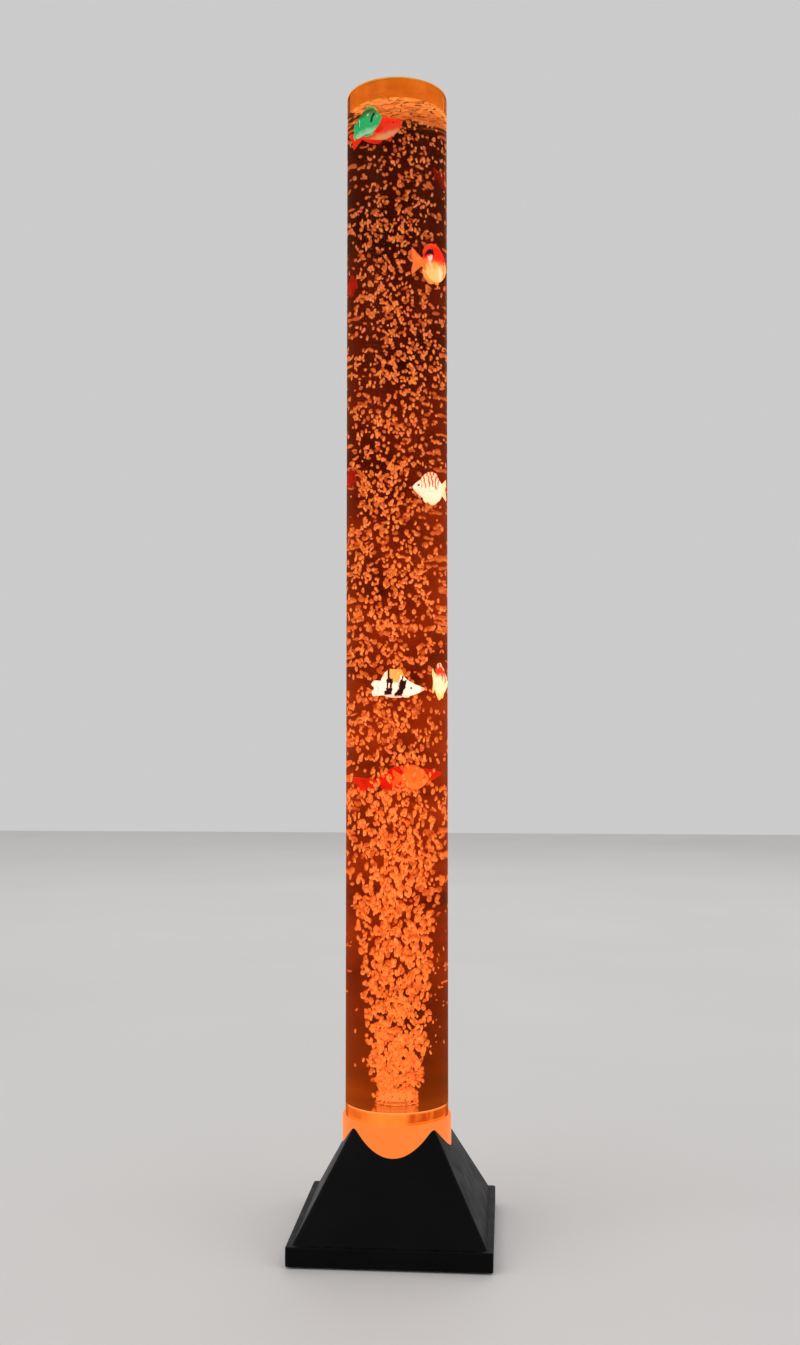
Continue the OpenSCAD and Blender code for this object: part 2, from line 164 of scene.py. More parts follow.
def mesh_object(name, verts, faces, mats, face_mat=None, smooth=True, sharp=None):
    me = bpy.data.meshes.new(name)
    me.from_pydata([tuple(v) for v in verts], [], [tuple(f) for f in faces])
    for m in mats:
        me.materials.append(m)
    if face_mat is not None:
        me.polygons.foreach_set("material_index", np.asarray(face_mat, dtype=np.int32))
    me.polygons.foreach_set("use_smooth", [smooth] * len(me.polygons))
    me.update()
    if sharp is not None:
        me.set_sharp_from_angle(angle=math.radians(sharp))
    return link(bpy.data.objects.new(name, me))


def place(ob, body, slot=None, *replaced):
    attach(ob, body)
    if replaced:
        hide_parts(*replaced)
    return ob


def give(node, mat):
    me = nodes[node].data
    if not me.materials:
        me.materials.append(mat.m)
    for i in range(len(me.materials)):
        me.materials[i] = mat.m


def grid_faces(rows, cols, close_cols=True, close_rows=False, flip=False):
    out = []
    for j in range(rows if close_rows else rows - 1):
        for i in range(cols if close_cols else cols - 1):
            a = j * cols + i
            b = j * cols + (i + 1) % cols
            c = ((j + 1) % rows) * cols + (i + 1) % cols
            d = ((j + 1) % rows) * cols + i
            out.append((a, d, c, b) if flip else (a, b, c, d))
    return out


def turned_profile(name, profile, mats, steps=256, closed=True, sharp=35):
    """A solid of revolution round +Z through (radius, height) points in mm, listed anticlockwise."""
    a = np.arange(steps) * 2 * math.pi / steps
    verts = np.concatenate([np.stack([r * np.cos(a), r * np.sin(a), np.full(steps, z)], 1)
        for r, z in profile]) * MM
    faces = grid_faces(len(profile), steps, True, closed, flip=True)
    faces = [tuple(reversed(f)) for f in faces]
    return mesh_object(name, verts, faces, mats, sharp=sharp)


def outward(ob):
    """Faces of a closed mesh made to look outward."""
    bm = bmesh.new()
    bm.from_mesh(ob.data)
    bmesh.ops.recalc_face_normals(bm, faces=bm.faces)
    bm.to_mesh(ob.data)
    bm.free()


# ------------------------------------------------------------------ colours
LIT = lin(255, 133, 58)          # the lamp's orange
DEEP = lin(224, 96, 30)


# ------------------------------------------------------------------ base shell
R_CUT = 56.2
WALL = 2.5 * math.sqrt(1 + 1 / 1.85 ** 2)
N_SIDE, N_ARC = 60, 12


def half_w(z):
    return 94 - (z - 20) / 1.85


def belly(z):
    return 2 * (z - 20) / 74


def outline(w, b, r):
    pts = []
    side = np.linspace(-1, 1, N_SIDE + 1)
    arc = np.radians(np.linspace(0, 90, N_ARC + 1)[1:-1])
    quarter = np.concatenate([
        np.stack([w + b * (1 - side ** 2), side * (w - r)], 1),
        np.stack([w - r + r * np.cos(arc), w - r + r * np.sin(arc)], 1)])
    for k in range(4):
        c, s = math.cos(k * math.pi / 2), math.sin(k * math.pi / 2)
        pts.append(np.stack([quarter[:, 0] * c - quarter[:, 1] * s,
            quarter[:, 0] * s + quarter[:, 1] * c], 1))
    return np.concatenate(pts)


N_COL = 4 * (N_SIDE + N_ARC)


def face_points(z, inset):
    """One point of the pyramid's face in each column, at that column's own height z."""
    out = np.zeros((N_COL, 3))
    side = np.linspace(-1, 1, N_SIDE + 1)
    arc = np.radians(np.linspace(0, 90, N_ARC + 1)[1:-1])
    n = N_SIDE + N_ARC
    w, b = half_w(z) - inset, belly(z)
    for k in range(4):
        c, s = math.cos(k * math.pi / 2), math.sin(k * math.pi / 2)
        i = k * n + np.arange(N_SIDE + 1)
        x, y = w[i] + b[i] * (1 - side ** 2), side * (w[i] - 3)
        out[i, 0], out[i, 1] = x * c - y * s, x * s + y * c
        i = k * n + N_SIDE + 1 + np.arange(N_ARC - 1)
        x, y = w[i] - 3 + 3 * np.cos(arc), w[i] - 3 + 3 * np.sin(arc)
        out[i, 0], out[i, 1] = x * c - y * s, x * s + y * c
    out[:, 2] = z
    return out


def cut_height(inset):
    """Height in each column where the face meets the round opening."""
    lo, hi = np.full(N_COL, 21.0), np.full(N_COL, 135.0)
    for _ in range(50):
        mid = (lo + hi) / 2
        p = face_points(mid, inset)
        outside = np.hypot(p[:, 0], p[:, 1]) > R_CUT
        lo, hi = np.where(outside, mid, lo), np.where(outside, hi, mid)
    return (lo + hi) / 2


def level(w, r, z, b=0.0):
    p = outline(w, b, r)
    return np.concatenate([p, np.full((len(p), 1), z)], 1)


def on_wall(p, z):
    a = np.arctan2(p[:, 1], p[:, 0])
    return np.stack([R_CUT * np.cos(a), R_CUT * np.sin(a), z], 1)


def softened(top, inset, spread):
    """The scalloped edge with its four peaks rounded over: a blur along the edge, spread in mm."""
    p = face_points(top, inset)
    a = np.arctan2(p[:, 1], p[:, 0])
    gap = (a[:, None] - a[None, :] + math.pi) % (2 * math.pi) - math.pi
    step = np.abs(((np.roll(a, -1) - np.roll(a, 1)) + math.pi) % (2 * math.pi) - math.pi)
    w = np.exp(-0.5 * (gap * R_CUT / spread) ** 2) * step[None, :]
    return np.minimum(top, (w * top[None, :]).sum(1) / w.sum(1))


def build_shell():
    top_out, top_in = softened(cut_height(0.0), 0.0, 2.3), cut_height(WALL)
    top_in = np.minimum(top_in, top_out - 2.0)
    rows = [level(99.45, 1.5, 1.5), level(99.84, 1.9, 1.66), level(100, 2, 2.05)]
    rows += [level(100, 2, z) for z in (5, 9, 13, 17, 18.9)]
    rows += [level(99.93, 2, 19.33), level(99.68, 2, 19.68), level(99.33, 2, 19.93), level(98.9, 2, 20.0)]
    rows += [level(97, 2.3, 20.0), level(94.9, 2.8, 20.0), level(94.45, 3, 20.08)]
    rows += [face_points(np.full(N_COL, 20.55), 0.0)]
    edge = 0.9
    for u in np.linspace(0, 1, 44)[1:]:
        rows.append(face_points(20.55 + u * (top_out - edge - 20.55), 0.0))
    a, tip = rows[-1], face_points(top_out, 0.0)
    b = on_wall(tip, top_out - edge)
    for t in (0.2, 0.4, 0.6, 0.8, 1.0):
        rows.append((1 - t) ** 2 * a + 2 * t * (1 - t) * tip + t * t * b)
    foot = face_points(top_in, WALL)
    for u in (0.35, 0.7, 1.0):
        rows.append(on_wall(tip, (1 - u) * (top_out - edge) + u * (top_in + 0.35)))
    rows.append(face_points(top_in - 0.3, WALL))
    for u in np.linspace(0, 1, 12)[1:]:
        rows.append(face_points((1 - u) * (top_in - 0.3) + u * 17.5, WALL))
    rows += [level(97.0, 1.2, 17.5), level(97.5, 1, 17.0), level(97.5, 1, 9), level(97.5, 1, 2.0), level(97.8, 1.2, 1.5)]
    verts = np.concatenate(rows) * MM
    faces = grid_faces(len(rows), N_COL, True, True)
    shell = mesh_object("base_shell_body", verts, faces, [])
    outward(shell)

    def solid(name, verts, faces):
        ob = mesh_object(name, np.asarray(verts) * MM, faces, [], smooth=False)
        outward(ob)
        return ob

    def box_parts(lo, hi, start=0):
        x0, y0, z0 = lo
        x1, y1, z1 = hi
        v = [(x0, y0, z0), (x1, y0, z0), (x1, y1, z0), (x0, y1, z0), (x0, y0, z1), (x1, y0, z1), (x1, y1, z1), (x0, y1, z1)]
        f = [(0, 3, 2, 1), (4, 5, 6, 7), (0, 1, 5, 4), (1, 2, 6, 5), (2, 3, 7, 6), (3, 0, 4, 7)]
        return v, [tuple(start + i for i in q) for q in f]

    def rod_parts(cx, cy, r, z0, z1, start=0, n=40, axis="z", third=0.0):
        a = np.arange(n) * 2 * math.pi / n
        v = []
        for z in (z0, z1):
            for t in a:
                p, q = cx + r * math.cos(t), cy + r * math.sin(t)
                v.append((p, q, z) if axis == "z" else (p, z, q))
        f = [tuple(start + i for i in range(n)), tuple(start + n + i for i in reversed(range(n)))]
        f += [(start + i, start + n + i, start + n + (i + 1) % n, start + (i + 1) % n) for i in range(n)]
        return v, f

    def gather(name, parts):
        v, f = [], []
        for make in parts:
            pv, pf = make(len(v))
            v += pv
            f += pf
        return solid(name, v, f)

    # a whole pyramid, to trim the recess walls to
    zs = np.linspace(19, 100, 12)
    loft = np.concatenate([face_points(np.full(N_COL, z), 0.4) for z in zs])
    pyramid = solid("cut_pyramid", loft, grid_faces(len(zs), N_COL) +
        [tuple(range(N_COL)), tuple(range(len(loft) - N_COL, len(loft)))])
    block = solid("cut_block", *box_parts((-34.5, 69.5, 25.5), (34.5, 92, 56.5)))

    def combine(target, other, operation):
        mod = target.modifiers.new("cut", "BOOLEAN")
        mod.operation = operation
        mod.solver = "EXACT"
        mod.object = other
        bpy.context.view_layer.update()
        dg = bpy.context.evaluated_depsgraph_get()
        me = bpy.data.meshes.new_from_object(target.evaluated_get(dg))
        target.modifiers.clear()
        target.data = me
        bpy.data.objects.remove(other)

    combine(block, pyramid, "INTERSECT")
    posts = gather("cut_posts",
        [lambda s, x=x, y=y: rod_parts(x, y, 3.8, 6, 27 if y > 0 else 36, s) for x, y in ((80, 0), (-80, 0), (0, 80), (0, -80))] +
        [lambda s, x=x, y=y: rod_parts(x, y, 4.5, 70, 98.5, s) for x in (46, -46) for y in (46, -46)])
    combine(shell, block, "UNION")
    combine(shell, posts, "UNION")
    holes = gather("cut_holes",
        [lambda s: box_parts((-32, 72, 28), (32, 120, 54), s),
         lambda s: rod_parts(-16, 41, 4.1, 69, 72.5, s, axis="y"),
         lambda s: box_parts((2.4, 69, 34.5), (21.6, 72.5, 47.5), s)] )
    combine(shell, holes, "DIFFERENCE")
    pilots = gather("cut_pilots",
        [lambda s, x=x, y=y: rod_parts(x, y, 1.25, 5, 20, s, n=24) for x, y in ((80, 0), (-80, 0), (0, 80), (0, -80))] +
        [lambda s, x=x, y=y: rod_parts(x, y, 1.25, 69, 84, s, n=24) for x in (46, -46) for y in (46, -46)])
    combine(shell, pilots, "DIFFERENCE")
    return shell


def black_plastic(name, lo, hi, rough=(0.36, 0.5), grain=1500.0, strength=0.12, dust=0.0):
    m = Mat(name)
    cloud = m.noise(18.0, 4.0)
    fine = m.noise(grain, 2.0)
    colour = m.ramp(cloud, [(0.3, (*lo, 1)), (0.7, (*hi, 1))])
    if dust:
        up = m.xyz(m.add("ShaderNodeNewGeometry").outputs["Normal"])["Z"]
        settled = m.math("MULTIPLY", m.span(up, 0.75, 1.0, 0.0, dust, True), m.span(m.noise(220.0, 4.0), 0.4, 0.7))
        colour = m.mix(settled, colour, (0.05, 0.047, 0.043, 1))
    m.principled({
        "Base Color": colour,
        "Roughness": m.span(m.noise(45.0, 4.0), 0.3, 0.7, *rough),
        "Specular IOR Level": 0.06,
        "Normal": m.bump(fine, strength, 0.0002),
    })
    return m


shell_black = black_plastic("shell_black_finish", (0.0020, 0.0017, 0.0020), (0.0036, 0.0031, 0.0036), dust=0.12)
shell = build_shell()
shell.name = "base_shell_moulding"
shell.data.materials.clear()
shell.data.materials.append(shell_black.m)
for p in shell.data.polygons:
    p.material_index = 0
    p.use_smooth = True
shell.data.set_sharp_from_angle(angle=math.radians(32))
wn = shell.modifiers.new("normals", "WEIGHTED_NORMAL")
wn.keep_sharp = True
wn.weight = 80
place(shell, "root", "shell_black", "base_shell")


# ------------------------------------------------------------------ glowing translucent parts
def glow(name, stops, scale, base, strength=1.0, rough=0.35, fine=900.0, bumps=0.08, vec_scale=(1, 1, 1), extra=None):
    """Milky plastic lit from inside: the light's own mottling, over a dim body colour."""
    m = Mat(name)
    vec = m.scaled(*vec_scale)
    cloud = m.noise(scale, 4.0, 0.6, vec=vec)
    light = m.ramp(cloud, stops)
    if extra:
        light = extra(m, light)
    m.principled({
        "Base Color": m.mix(m.noise(60.0, 2.0), tuple(0.5 * c for c in base[:3]) + (1,), tuple(0.4 * c for c in base[:3]) + (1,)),
        "Roughness": rough,
        "Specular IOR Level": 0.10,
        "Emission Color": light,
        "Emission Strength": strength,
        "Normal": m.bump(m.noise(fine, 2.0), bumps, 0.0002),
    })
    return m


def off_front(m, right=(0.012, 0.018), left=(-0.018, -0.036)):
    """Painted shade: dim zones at both sides of the brightest part of the rim, a sharp one to the right, a soft one to
    the left.
    """
    p = m.xyz()
    x = m.math("ADD", p["X"], m.span(m.noise(60.0, 3.0, vec=m.scaled(1, 1, 0.25)), 0.2, 0.8, -0.006, 0.006))
    streak = m.span(m.noise(150.0, 3.0, vec=m.scaled(1, 1, 0.3)), 0.30, 0.55, 0.55, 1.0, True)
    return p, m.math("MULTIPLY", m.span(x, *right, 0.0, 1.0, True), streak), m.math("MULTIPLY", m.span(x, *left, 0.0, 1.0, True), streak)


def floor_light(m, light):
    # painted shade: dim red-brown zones at both sides of the front of the floor disc's glowing rim
    p, right, left = off_front(m)
    light = m.mix(right, light, (0.25, 0.046, 0.006, 1))
    light = m.mix(left, light, (0.40, 0.110, 0.022, 1))
    # painted highlight: a bright line along the floor disc's top edge
    line = m.span(p["Z"], 0.1348, 0.1357, 0.0, 1.0, True)
    return m.mix(line, light, (1.25, 0.46, 0.15, 1))


collar_glow = glow("collar_glow_finish", [(0.25, (0.99, 0.214, 0.032, 1)), (0.7, (1.06, 0.236, 0.040, 1))],
    28.0, (0.12, 0.03, 0.008, 1), 0.97)
floor_clear = glow("floor_clear_finish", [(0.2, (0.80, 0.26, 0.080, 1)), (0.7, (0.92, 0.32, 0.110, 1))],
    45.0, (0.05, 0.012, 0.003, 1), 1.0, extra=floor_light)
cement_clear = glow("cement_clear_finish", [(0.2, (0.9, 0.26, 0.05, 1)), (0.8, (1.0, 0.33, 0.08, 1))],
    150.0, (0.05, 0.012, 0.003, 1))
lid_glow = glow("lid_glow_finish", [(0.25, (0.58, 0.200, 0.014, 1)), (0.5, (0.72, 0.260, 0.022, 1)), (0.75, (0.88, 0.35, 0.040, 1))],
    70.0, (0.10, 0.03, 0.008, 1), 0.95, vec_scale=(1, 1, 0.4))
give("collar", collar_glow)
give("tube_floor", floor_clear)
give("floor_cement", cement_clear)
give("lid", lid_glow)


# ------------------------------------------------------------------ tube
def lamp_glass(name, ior, gloss, tint):
    """Clear acrylic; its two ends carry the lamp's light, above the water and beside the floor disc."""
    m = Mat(name)
    wave = m.noise(14.0, 2.0, vec=m.scaled(1, 1, 0.25))
    normal = m.bump(wave, 0.02, 0.0006)
    z = m.xyz()["Z"]
    upper, lower = m.span(z, 1.1670, 1.1705, 0.0, 1.0, True), m.span(z, 0.1345, 0.1365, 1.0, 0.0, True)
    lit = m.ramp(m.noise(60.0, 3.0), [(0.3, (0.78, 0.52, 0.30, 1)), (0.7, (0.90, 0.66, 0.42, 1))])
    colour = m.mix(m.math("MAXIMUM", upper, lower), m.mix(wave, tint, (1, 1, 1, 1)), lit)
    bend = m.add("ShaderNodeBsdfRefraction", {"Color": colour, "Roughness": 0.0, "IOR": ior, "Normal": normal})
    # painted shade: dim zones beside the front of the glowing lower end of the wall
    p, right, left = off_front(m, (0.013, 0.019), (-0.020, -0.040))
    rim = m.mix(right, m.mix(left, (0.42, 0.095, 0.014, 1), (0.27, 0.052, 0.006, 1)), (0.20, 0.030, 0.002, 1))
    # painted highlight: a bright line at the height of the floor disc's top edge
    line = m.span(m.math("ABSOLUTE", m.math("SUBTRACT", z, 0.1352)), 0.0004, 0.0009, 1.0, 0.0, True)
    rim = m.mix(line, rim, (0.52, 0.125, 0.024, 1))
    piped = m.add("ShaderNodeEmission", {"Color": m.mix(lower, m.mix(upper, (0, 0, 0, 1), (0.10, 0.024, 0.003, 1)), rim), "Strength": 1.0})
    body = m.add("ShaderNodeAddShader", {0: bend.outputs[0], 1: piped.outputs[0]})
    shine = m.add("ShaderNodeBsdfGlossy", {"Color": (1.0, 0.42, 0.18, 1), "Roughness": 0.04, "Normal": normal})
    part = m.math("MULTIPLY", m.add("ShaderNodeFresnel", {"IOR": ior, "Normal": normal}).outputs[0], gloss)
    both = m.add("ShaderNodeMixShader", {0: part, 1: body.outputs[0], 2: shine.outputs[0]})
    clear = m.add("ShaderNodeBsdfTransparent", {"Color": (1, 1, 1, 1)})
    path = m.add("ShaderNodeLightPath")
    end = m.add("ShaderNodeMixShader", {0: path.outputs["Is Shadow Ray"], 1: both.outputs[0], 2: clear.outputs[0]})
    m.surface(end.outputs[0])
    return m


tube_clear = lamp_glass("tube_clear_finish", 1.49, 0.22, (0.97, 0.965, 0.96, 1))
tube = turned_profile("tube_wall", [(50.0, 94.0), (52.7, 94.0), (53.0, 94.3), (53.0, 1188.45), (52.75, 1188.8), (50.2, 1188.8), (50.0, 1188.6)],
    [tube_clear.m], 288)
outward(tube)
place(tube, "root", "tube_clear", "tube")

# ------------------------------------------------------------------ water
water = Mat("water_amber_finish")
wx = water.xyz()
# painted light: the water body's back faces glow red-brown, brighter near the bottom and darker towards the top,
# mottled by patch
water_painted_glow = water.ramp(water.span(wx["Z"], 0.136, 1.17), [
    (0.00, (0.68, 0.142, 0.008, 1)), (0.015, (0.49, 0.094, 0.006, 1)), (0.035, (0.35, 0.060, 0.005, 1)), (0.10, (0.31, 0.042, 0.004, 1)),
    (0.18, (0.52, 0.058, 0.005, 1)), (0.30, (0.64, 0.074, 0.008, 1)), (0.48, (0.43, 0.050, 0.006, 1)), (0.62, (0.35, 0.036, 0.005, 1)),
    (0.71, (0.20, 0.020, 0.004, 1)), (0.80, (0.17, 0.018, 0.004, 1)), (0.92, (0.092, 0.010, 0.003, 1)), (1.0, (0.076, 0.009, 0.003, 1))])
patch = water.noise(26.0, 3.0, 0.6, vec=water.scaled(1, 1, 0.7))
water_painted_glow = water.mix(1.0, water_painted_glow, water.ramp(patch, [(0.30, (0.35, 0.35, 0.35, 1)), (0.62, (1.25, 1.25, 1.25, 1))]), "MULTIPLY")
far = water.add("ShaderNodeEmission", {"Color": water_painted_glow, "Strength": 1.0})
bend = water.add("ShaderNodeBsdfRefraction", {"Color": (1, 1, 1, 1), "Roughness": 0.0, "IOR": 1.33})
# the floor disc mirrors the column of bubbles above it
mirror = water.add("ShaderNodeBsdfGlossy", {"Color": (0.95, 0.80, 0.70, 1), "Roughness": 0.12})
low_end = water.span(wx["Z"], 0.1361, 0.1364, 0.8, 0.0)
far = water.add("ShaderNodeMixShader", {0: low_end, 1: far.outputs[0], 2: mirror.outputs[0]})
side = water.add("ShaderNodeMixShader", {0: water.add("ShaderNodeNewGeometry").outputs["Backfacing"], 1: bend.outputs[0], 2: far.outputs[0]})
open_ = water.add("ShaderNodeBsdfTransparent", {"Color": (0.9, 0.75, 0.65, 1)})
wend = water.add("ShaderNodeMixShader", {0: water.add("ShaderNodeLightPath").outputs["Is Shadow Ray"], 1: side.outputs[0], 2: open_.outputs[0]})
water.surface(wend.outputs[0])
soak = water.add("ShaderNodeVolumeAbsorption", {"Color": (0.60, 0.25, 0.10, 1), "Density": 18.0})
water.t.links.new(soak.outputs[0], water.out.inputs["Volume"])


def ripple(x, y):
    """Height of the water's surface, in mm, around its mean."""
    r = np.hypot(x, y)
    h = (0.35 * np.sin(0.21 * x + 0.9) * np.cos(0.17 * y - 0.4) + 0.22 * np.sin(0.43 * x - 0.31 * y + 2.1)
         + 0.16 * np.sin(0.62 * y + 0.27 * x + 0.5) + 0.10 * np.cos(0.95 * x + 0.4 * y))
    return h * (1 - (r / 50.5) ** 6) - 0.75


def disc(name, radius, rings, steps, height, bottom, mats, outer_rows=()):
    """A round body with a wavy top, closed underneath at bottom, or a thin wavy sheet if bottom is a function."""
    a = np.arange(steps) * 2 * math.pi / steps
    verts = [(0.0, 0.0, float(height(np.array(0.0), np.array(0.0))))]
    for k in range(1, rings + 1):
        r = radius * k / rings
        x, y = r * np.cos(a), r * np.sin(a)
        verts += list(zip(x, y, height(x, y)))
    faces = [(0, 1 + i, 1 + (i + 1) % steps) for i in range(steps)]
    for k in range(rings - 1):
        s = 1 + k * steps
        faces += [(s + i, s + steps + i, s + steps + (i + 1) % steps, s + (i + 1) % steps) for i in range(steps)]
    last = 1 + (rings - 1) * steps
    if callable(bottom):
        n = len(verts)
        verts.append((0.0, 0.0, float(bottom(np.array(0.0), np.array(0.0)))))
        for k in range(1, rings + 1):
            r = radius * k / rings
            x, y = r * np.cos(a), r * np.sin(a)
            verts += list(zip(x, y, bottom(x, y)))
        faces += [(n, n + 1 + (i + 1) % steps, n + 1 + i) for i in range(steps)]
        for k in range(rings - 1):
            s = n + 1 + k * steps
            faces += [(s + i, s + (i + 1) % steps, s + steps + (i + 1) % steps, s + steps + i) for i in range(steps)]
        low = n + 1 + (rings - 1) * steps
        faces += [(last + i, low + i, low + (i + 1) % steps, last + (i + 1) % steps) for i in range(steps)]
    else:
        prev = last
        for r, z in outer_rows:
            n = len(verts)
            verts += list(zip(r * np.cos(a), r * np.sin(a), np.full(steps, z)))
            faces += [(prev + i, n + i, n + (i + 1) % steps, prev + (i + 1) % steps) for i in range(steps)]
            prev = n
        n = len(verts)
        verts.append((0.0, 0.0, bottom))
        faces += [(prev + (i + 1) % steps, prev + i, n) for i in range(steps)]
    ob = mesh_object(name, np.array(verts) * MM, faces, mats, sharp=40)
    outward(ob)
    return ob


water_body = disc("water_body", 50.1, 30, 288, lambda x, y: 1170.0 + ripple(x, y) + 0.6 * (np.hypot(x, y) / 50.1) ** 40, 136.06,
    [water.m], [(50.1, z) for z in (1160, 1000, 800, 600, 400, 250, 136.06)])
place(water_body, "root", "water_amber", "water_fill")

froth = Mat("surface_froth_finish")
sq = froth.noise(78.0, 3.0, 0.55, vec=froth.scaled(0.8, 1.25, 1), warp=1.2)
lines = froth.math("ABSOLUTE", froth.math("SUBTRACT", sq, 0.5))
dark = froth.math("MULTIPLY", froth.span(lines, 0.004, 0.044, 1.0, 0.0, True), froth.span(froth.noise(34.0, 2.0), 0.38, 0.54, 0.0, 1.0, True))
# painted light: the surface's orange glow
body = froth.ramp(froth.noise(110.0, 4.0), [(0.3, (0.90, 0.20, 0.022, 1)), (0.5, (1.20, 0.33, 0.060, 1)), (0.7, (1.42, 0.44, 0.095, 1))])
# painted shade: the back of the surface, over the gaps in the bubbles, is mostly dark with orange flecks
fp = froth.xyz()
lean = froth.math("ADD", fp["Y"], froth.math("MULTIPLY", fp["X"], -0.80))
flecks = froth.math("SUBTRACT", froth.noise(85.0, 3.0, 0.6), froth.span(lean, -0.022, 0.030, 0.02, 0.46, True))
lit_part = froth.span(flecks, 0.02, 0.12, 0.0, 1.0, True)
body = froth.mix(lit_part, (0.075, 0.017, 0.004, 1), body)
froth.principled({"Base Color": (0.02, 0.006, 0.002, 1), "Roughness": 0.3,
    "Emission Color": froth.mix(dark, body, (0.08, 0.018, 0.004, 1)), "Emission Strength": 1.0,
    "Normal": froth.bump(sq, 0.3, 0.0006)})


def surface_height(x, y):
    return 1170.0 + ripple(x, y) + 0.6 * (np.hypot(x, y) / 50.1) ** 40


froth_sheet = disc("surface_froth", 50.03, 26, 240, lambda x, y: surface_height(x, y) - 0.06, lambda x, y: surface_height(x, y) - 0.36, [froth.m])
place(froth_sheet, "root", "water_amber")

# ------------------------------------------------------------------ fish
FISH = {  # x, y, z, heading, nose up, length, height, thickness, room down, room up
    1: (-25.6, -30.6, 1151.8, -40, 0, 37, 32, 7, 60, 0.6),
    2: (-18.5, -11, 1148, 3, 22, 50, 30, 9, 60, 4),
    3: (33, 13, 1106, 75, 0, 27, 22, 8, 30, 30),
    4: (29, -6.5, 1007, 33, 0, 38, 44, 8, 30, 30),
    5: (-38, -8, 986, 100, 0, 30, 24, 8, 30, 30),
    6: (30, -7.8, 769, 217, 0, 37, 36, 8, 30, 30),
    7: (-38, -3, 782, 95, 0, 30, 22, 8, 30, 30),
    8: (3, -28, 565, 6, 0, 50, 30, 9, 30, 30),
    9: (36, 0, 568, 80, 0, 32, 40, 8, 30, 30),
    10: (12, -12, 468, 30, 0, 34, 28, 9, 30, 30),
    11: (-2, 20, 466, 8, 13, 62, 28, 9, 30, 30),
}
# body profiles: place along the length, upper edge, lower edge, share of the thickness
ROUND = [(-0.26, 0.09, -0.08, 0.12), (-0.20, 0.13, -0.12, 0.26), (-0.12, 0.27, -0.24, 0.52), (-0.02, 0.385, -0.36, 0.80),
    (0.08, 0.425, -0.415, 0.96), (0.19, 0.415, -0.42, 1.0), (0.29, 0.35, -0.36, 0.92), (0.38, 0.235, -0.26, 0.70), (0.445, 0.12, -0.15, 0.44), (0.485, 0.03, -0.06, 0.20)]
DEEP_BODY = [(-0.28, 0.10, -0.10, 0.12), (-0.21, 0.15, -0.15, 0.30), (-0.10, 0.26, -0.26, 0.58), (0.01, 0.365, -0.37, 0.86),
    (0.11, 0.395, -0.42, 1.0), (0.21, 0.365, -0.40, 0.98), (0.30, 0.29, -0.35, 0.86), (0.38, 0.20, -0.27, 0.66), (0.445, 0.11, -0.17, 0.44), (0.485, 0.03, -0.09, 0.22)]
BROAD = [(-0.42, 0.02, -0.34, 0.14), (-0.36, 0.14, -0.42, 0.34), (-0.26, 0.27, -0.43, 0.58), (-0.14, 0.385, -0.40, 0.80),
    (0.00, 0.44, -0.40, 0.96), (0.12, 0.43, -0.42, 1.0), (0.23, 0.36, -0.36, 0.92), (0.33, 0.25, -0.26, 0.72), (0.42, 0.13, -0.15, 0.46), (0.485, 0.02, -0.05, 0.20)]
KITE = [(-0.30, 0.14, -0.20, 0.12), (-0.23, 0.26, -0.33, 0.28), (-0.14, 0.345, -0.40, 0.54), (-0.04, 0.385, -0.43, 0.80),
    (0.05, 0.375, -0.42, 0.96), (0.15, 0.32, -0.355, 1.0), (0.25, 0.25, -0.275, 0.92), (0.34, 0.175, -0.20, 0.74), (0.42, 0.10, -0.125, 0.50), (0.485, 0.02, -0.05, 0.20)]
FLAT = [(-0.30, 0.03, -0.39, 0.12), (-0.23, 0.12, -0.43, 0.28), (-0.13, 0.22, -0.46, 0.60), (-0.01, 0.28, -0.47, 0.90),
    (0.08, 0.27, -0.465, 1.0), (0.16, 0.15, -0.45, 0.96), (0.26, 0.02, -0.41, 0.84), (0.37, -0.075, -0.34, 0.58), (0.485, -0.155, -0.235, 0.20)]
LONG = [(-0.27, 0.08, -0.08, 0.12), (-0.19, 0.12, -0.12, 0.30), (-0.09, 0.21, -0.20, 0.58), (0.03, 0.29, -0.29, 0.86),
    (0.15, 0.33, -0.33, 1.0), (0.27, 0.30, -0.31, 0.96), (0.37, 0.22, -0.24, 0.76), (0.445, 0.12, -0.15, 0.50), (0.485, 0.035, -0.07, 0.24)]


def smooth_rows(table, n):
    """The profile table, passed through a smooth curve with n sections."""
    t = np.array(table)
    s = np.linspace(0, len(t) - 1, n)
    i = np.clip(s.astype(int), 0, len(t) - 2)
    f = (s - i)[:, None]
    p0, p1, p2, p3 = t[np.maximum(i - 1, 0)], t[i], t[i + 1], t[np.minimum(i + 2, len(t) - 1)]
    return 0.5 * (2 * p1 + (p2 - p0) * f + (2 * p0 - 5 * p1 + 4 * p2 - p3) * f ** 2 + (3 * p1 - p0 - 3 * p2 + p3) * f ** 3)


class Build:
    def __init__(self):
        self.v, self.f, self.m = [], [], []

    def put(self, verts, faces, mat):
        n = len(self.v)
        self.v += [tuple(p) for p in verts]
        self.f += [tuple(n + i for i in q) for q in faces]
        self.m += [mat] * len(faces)


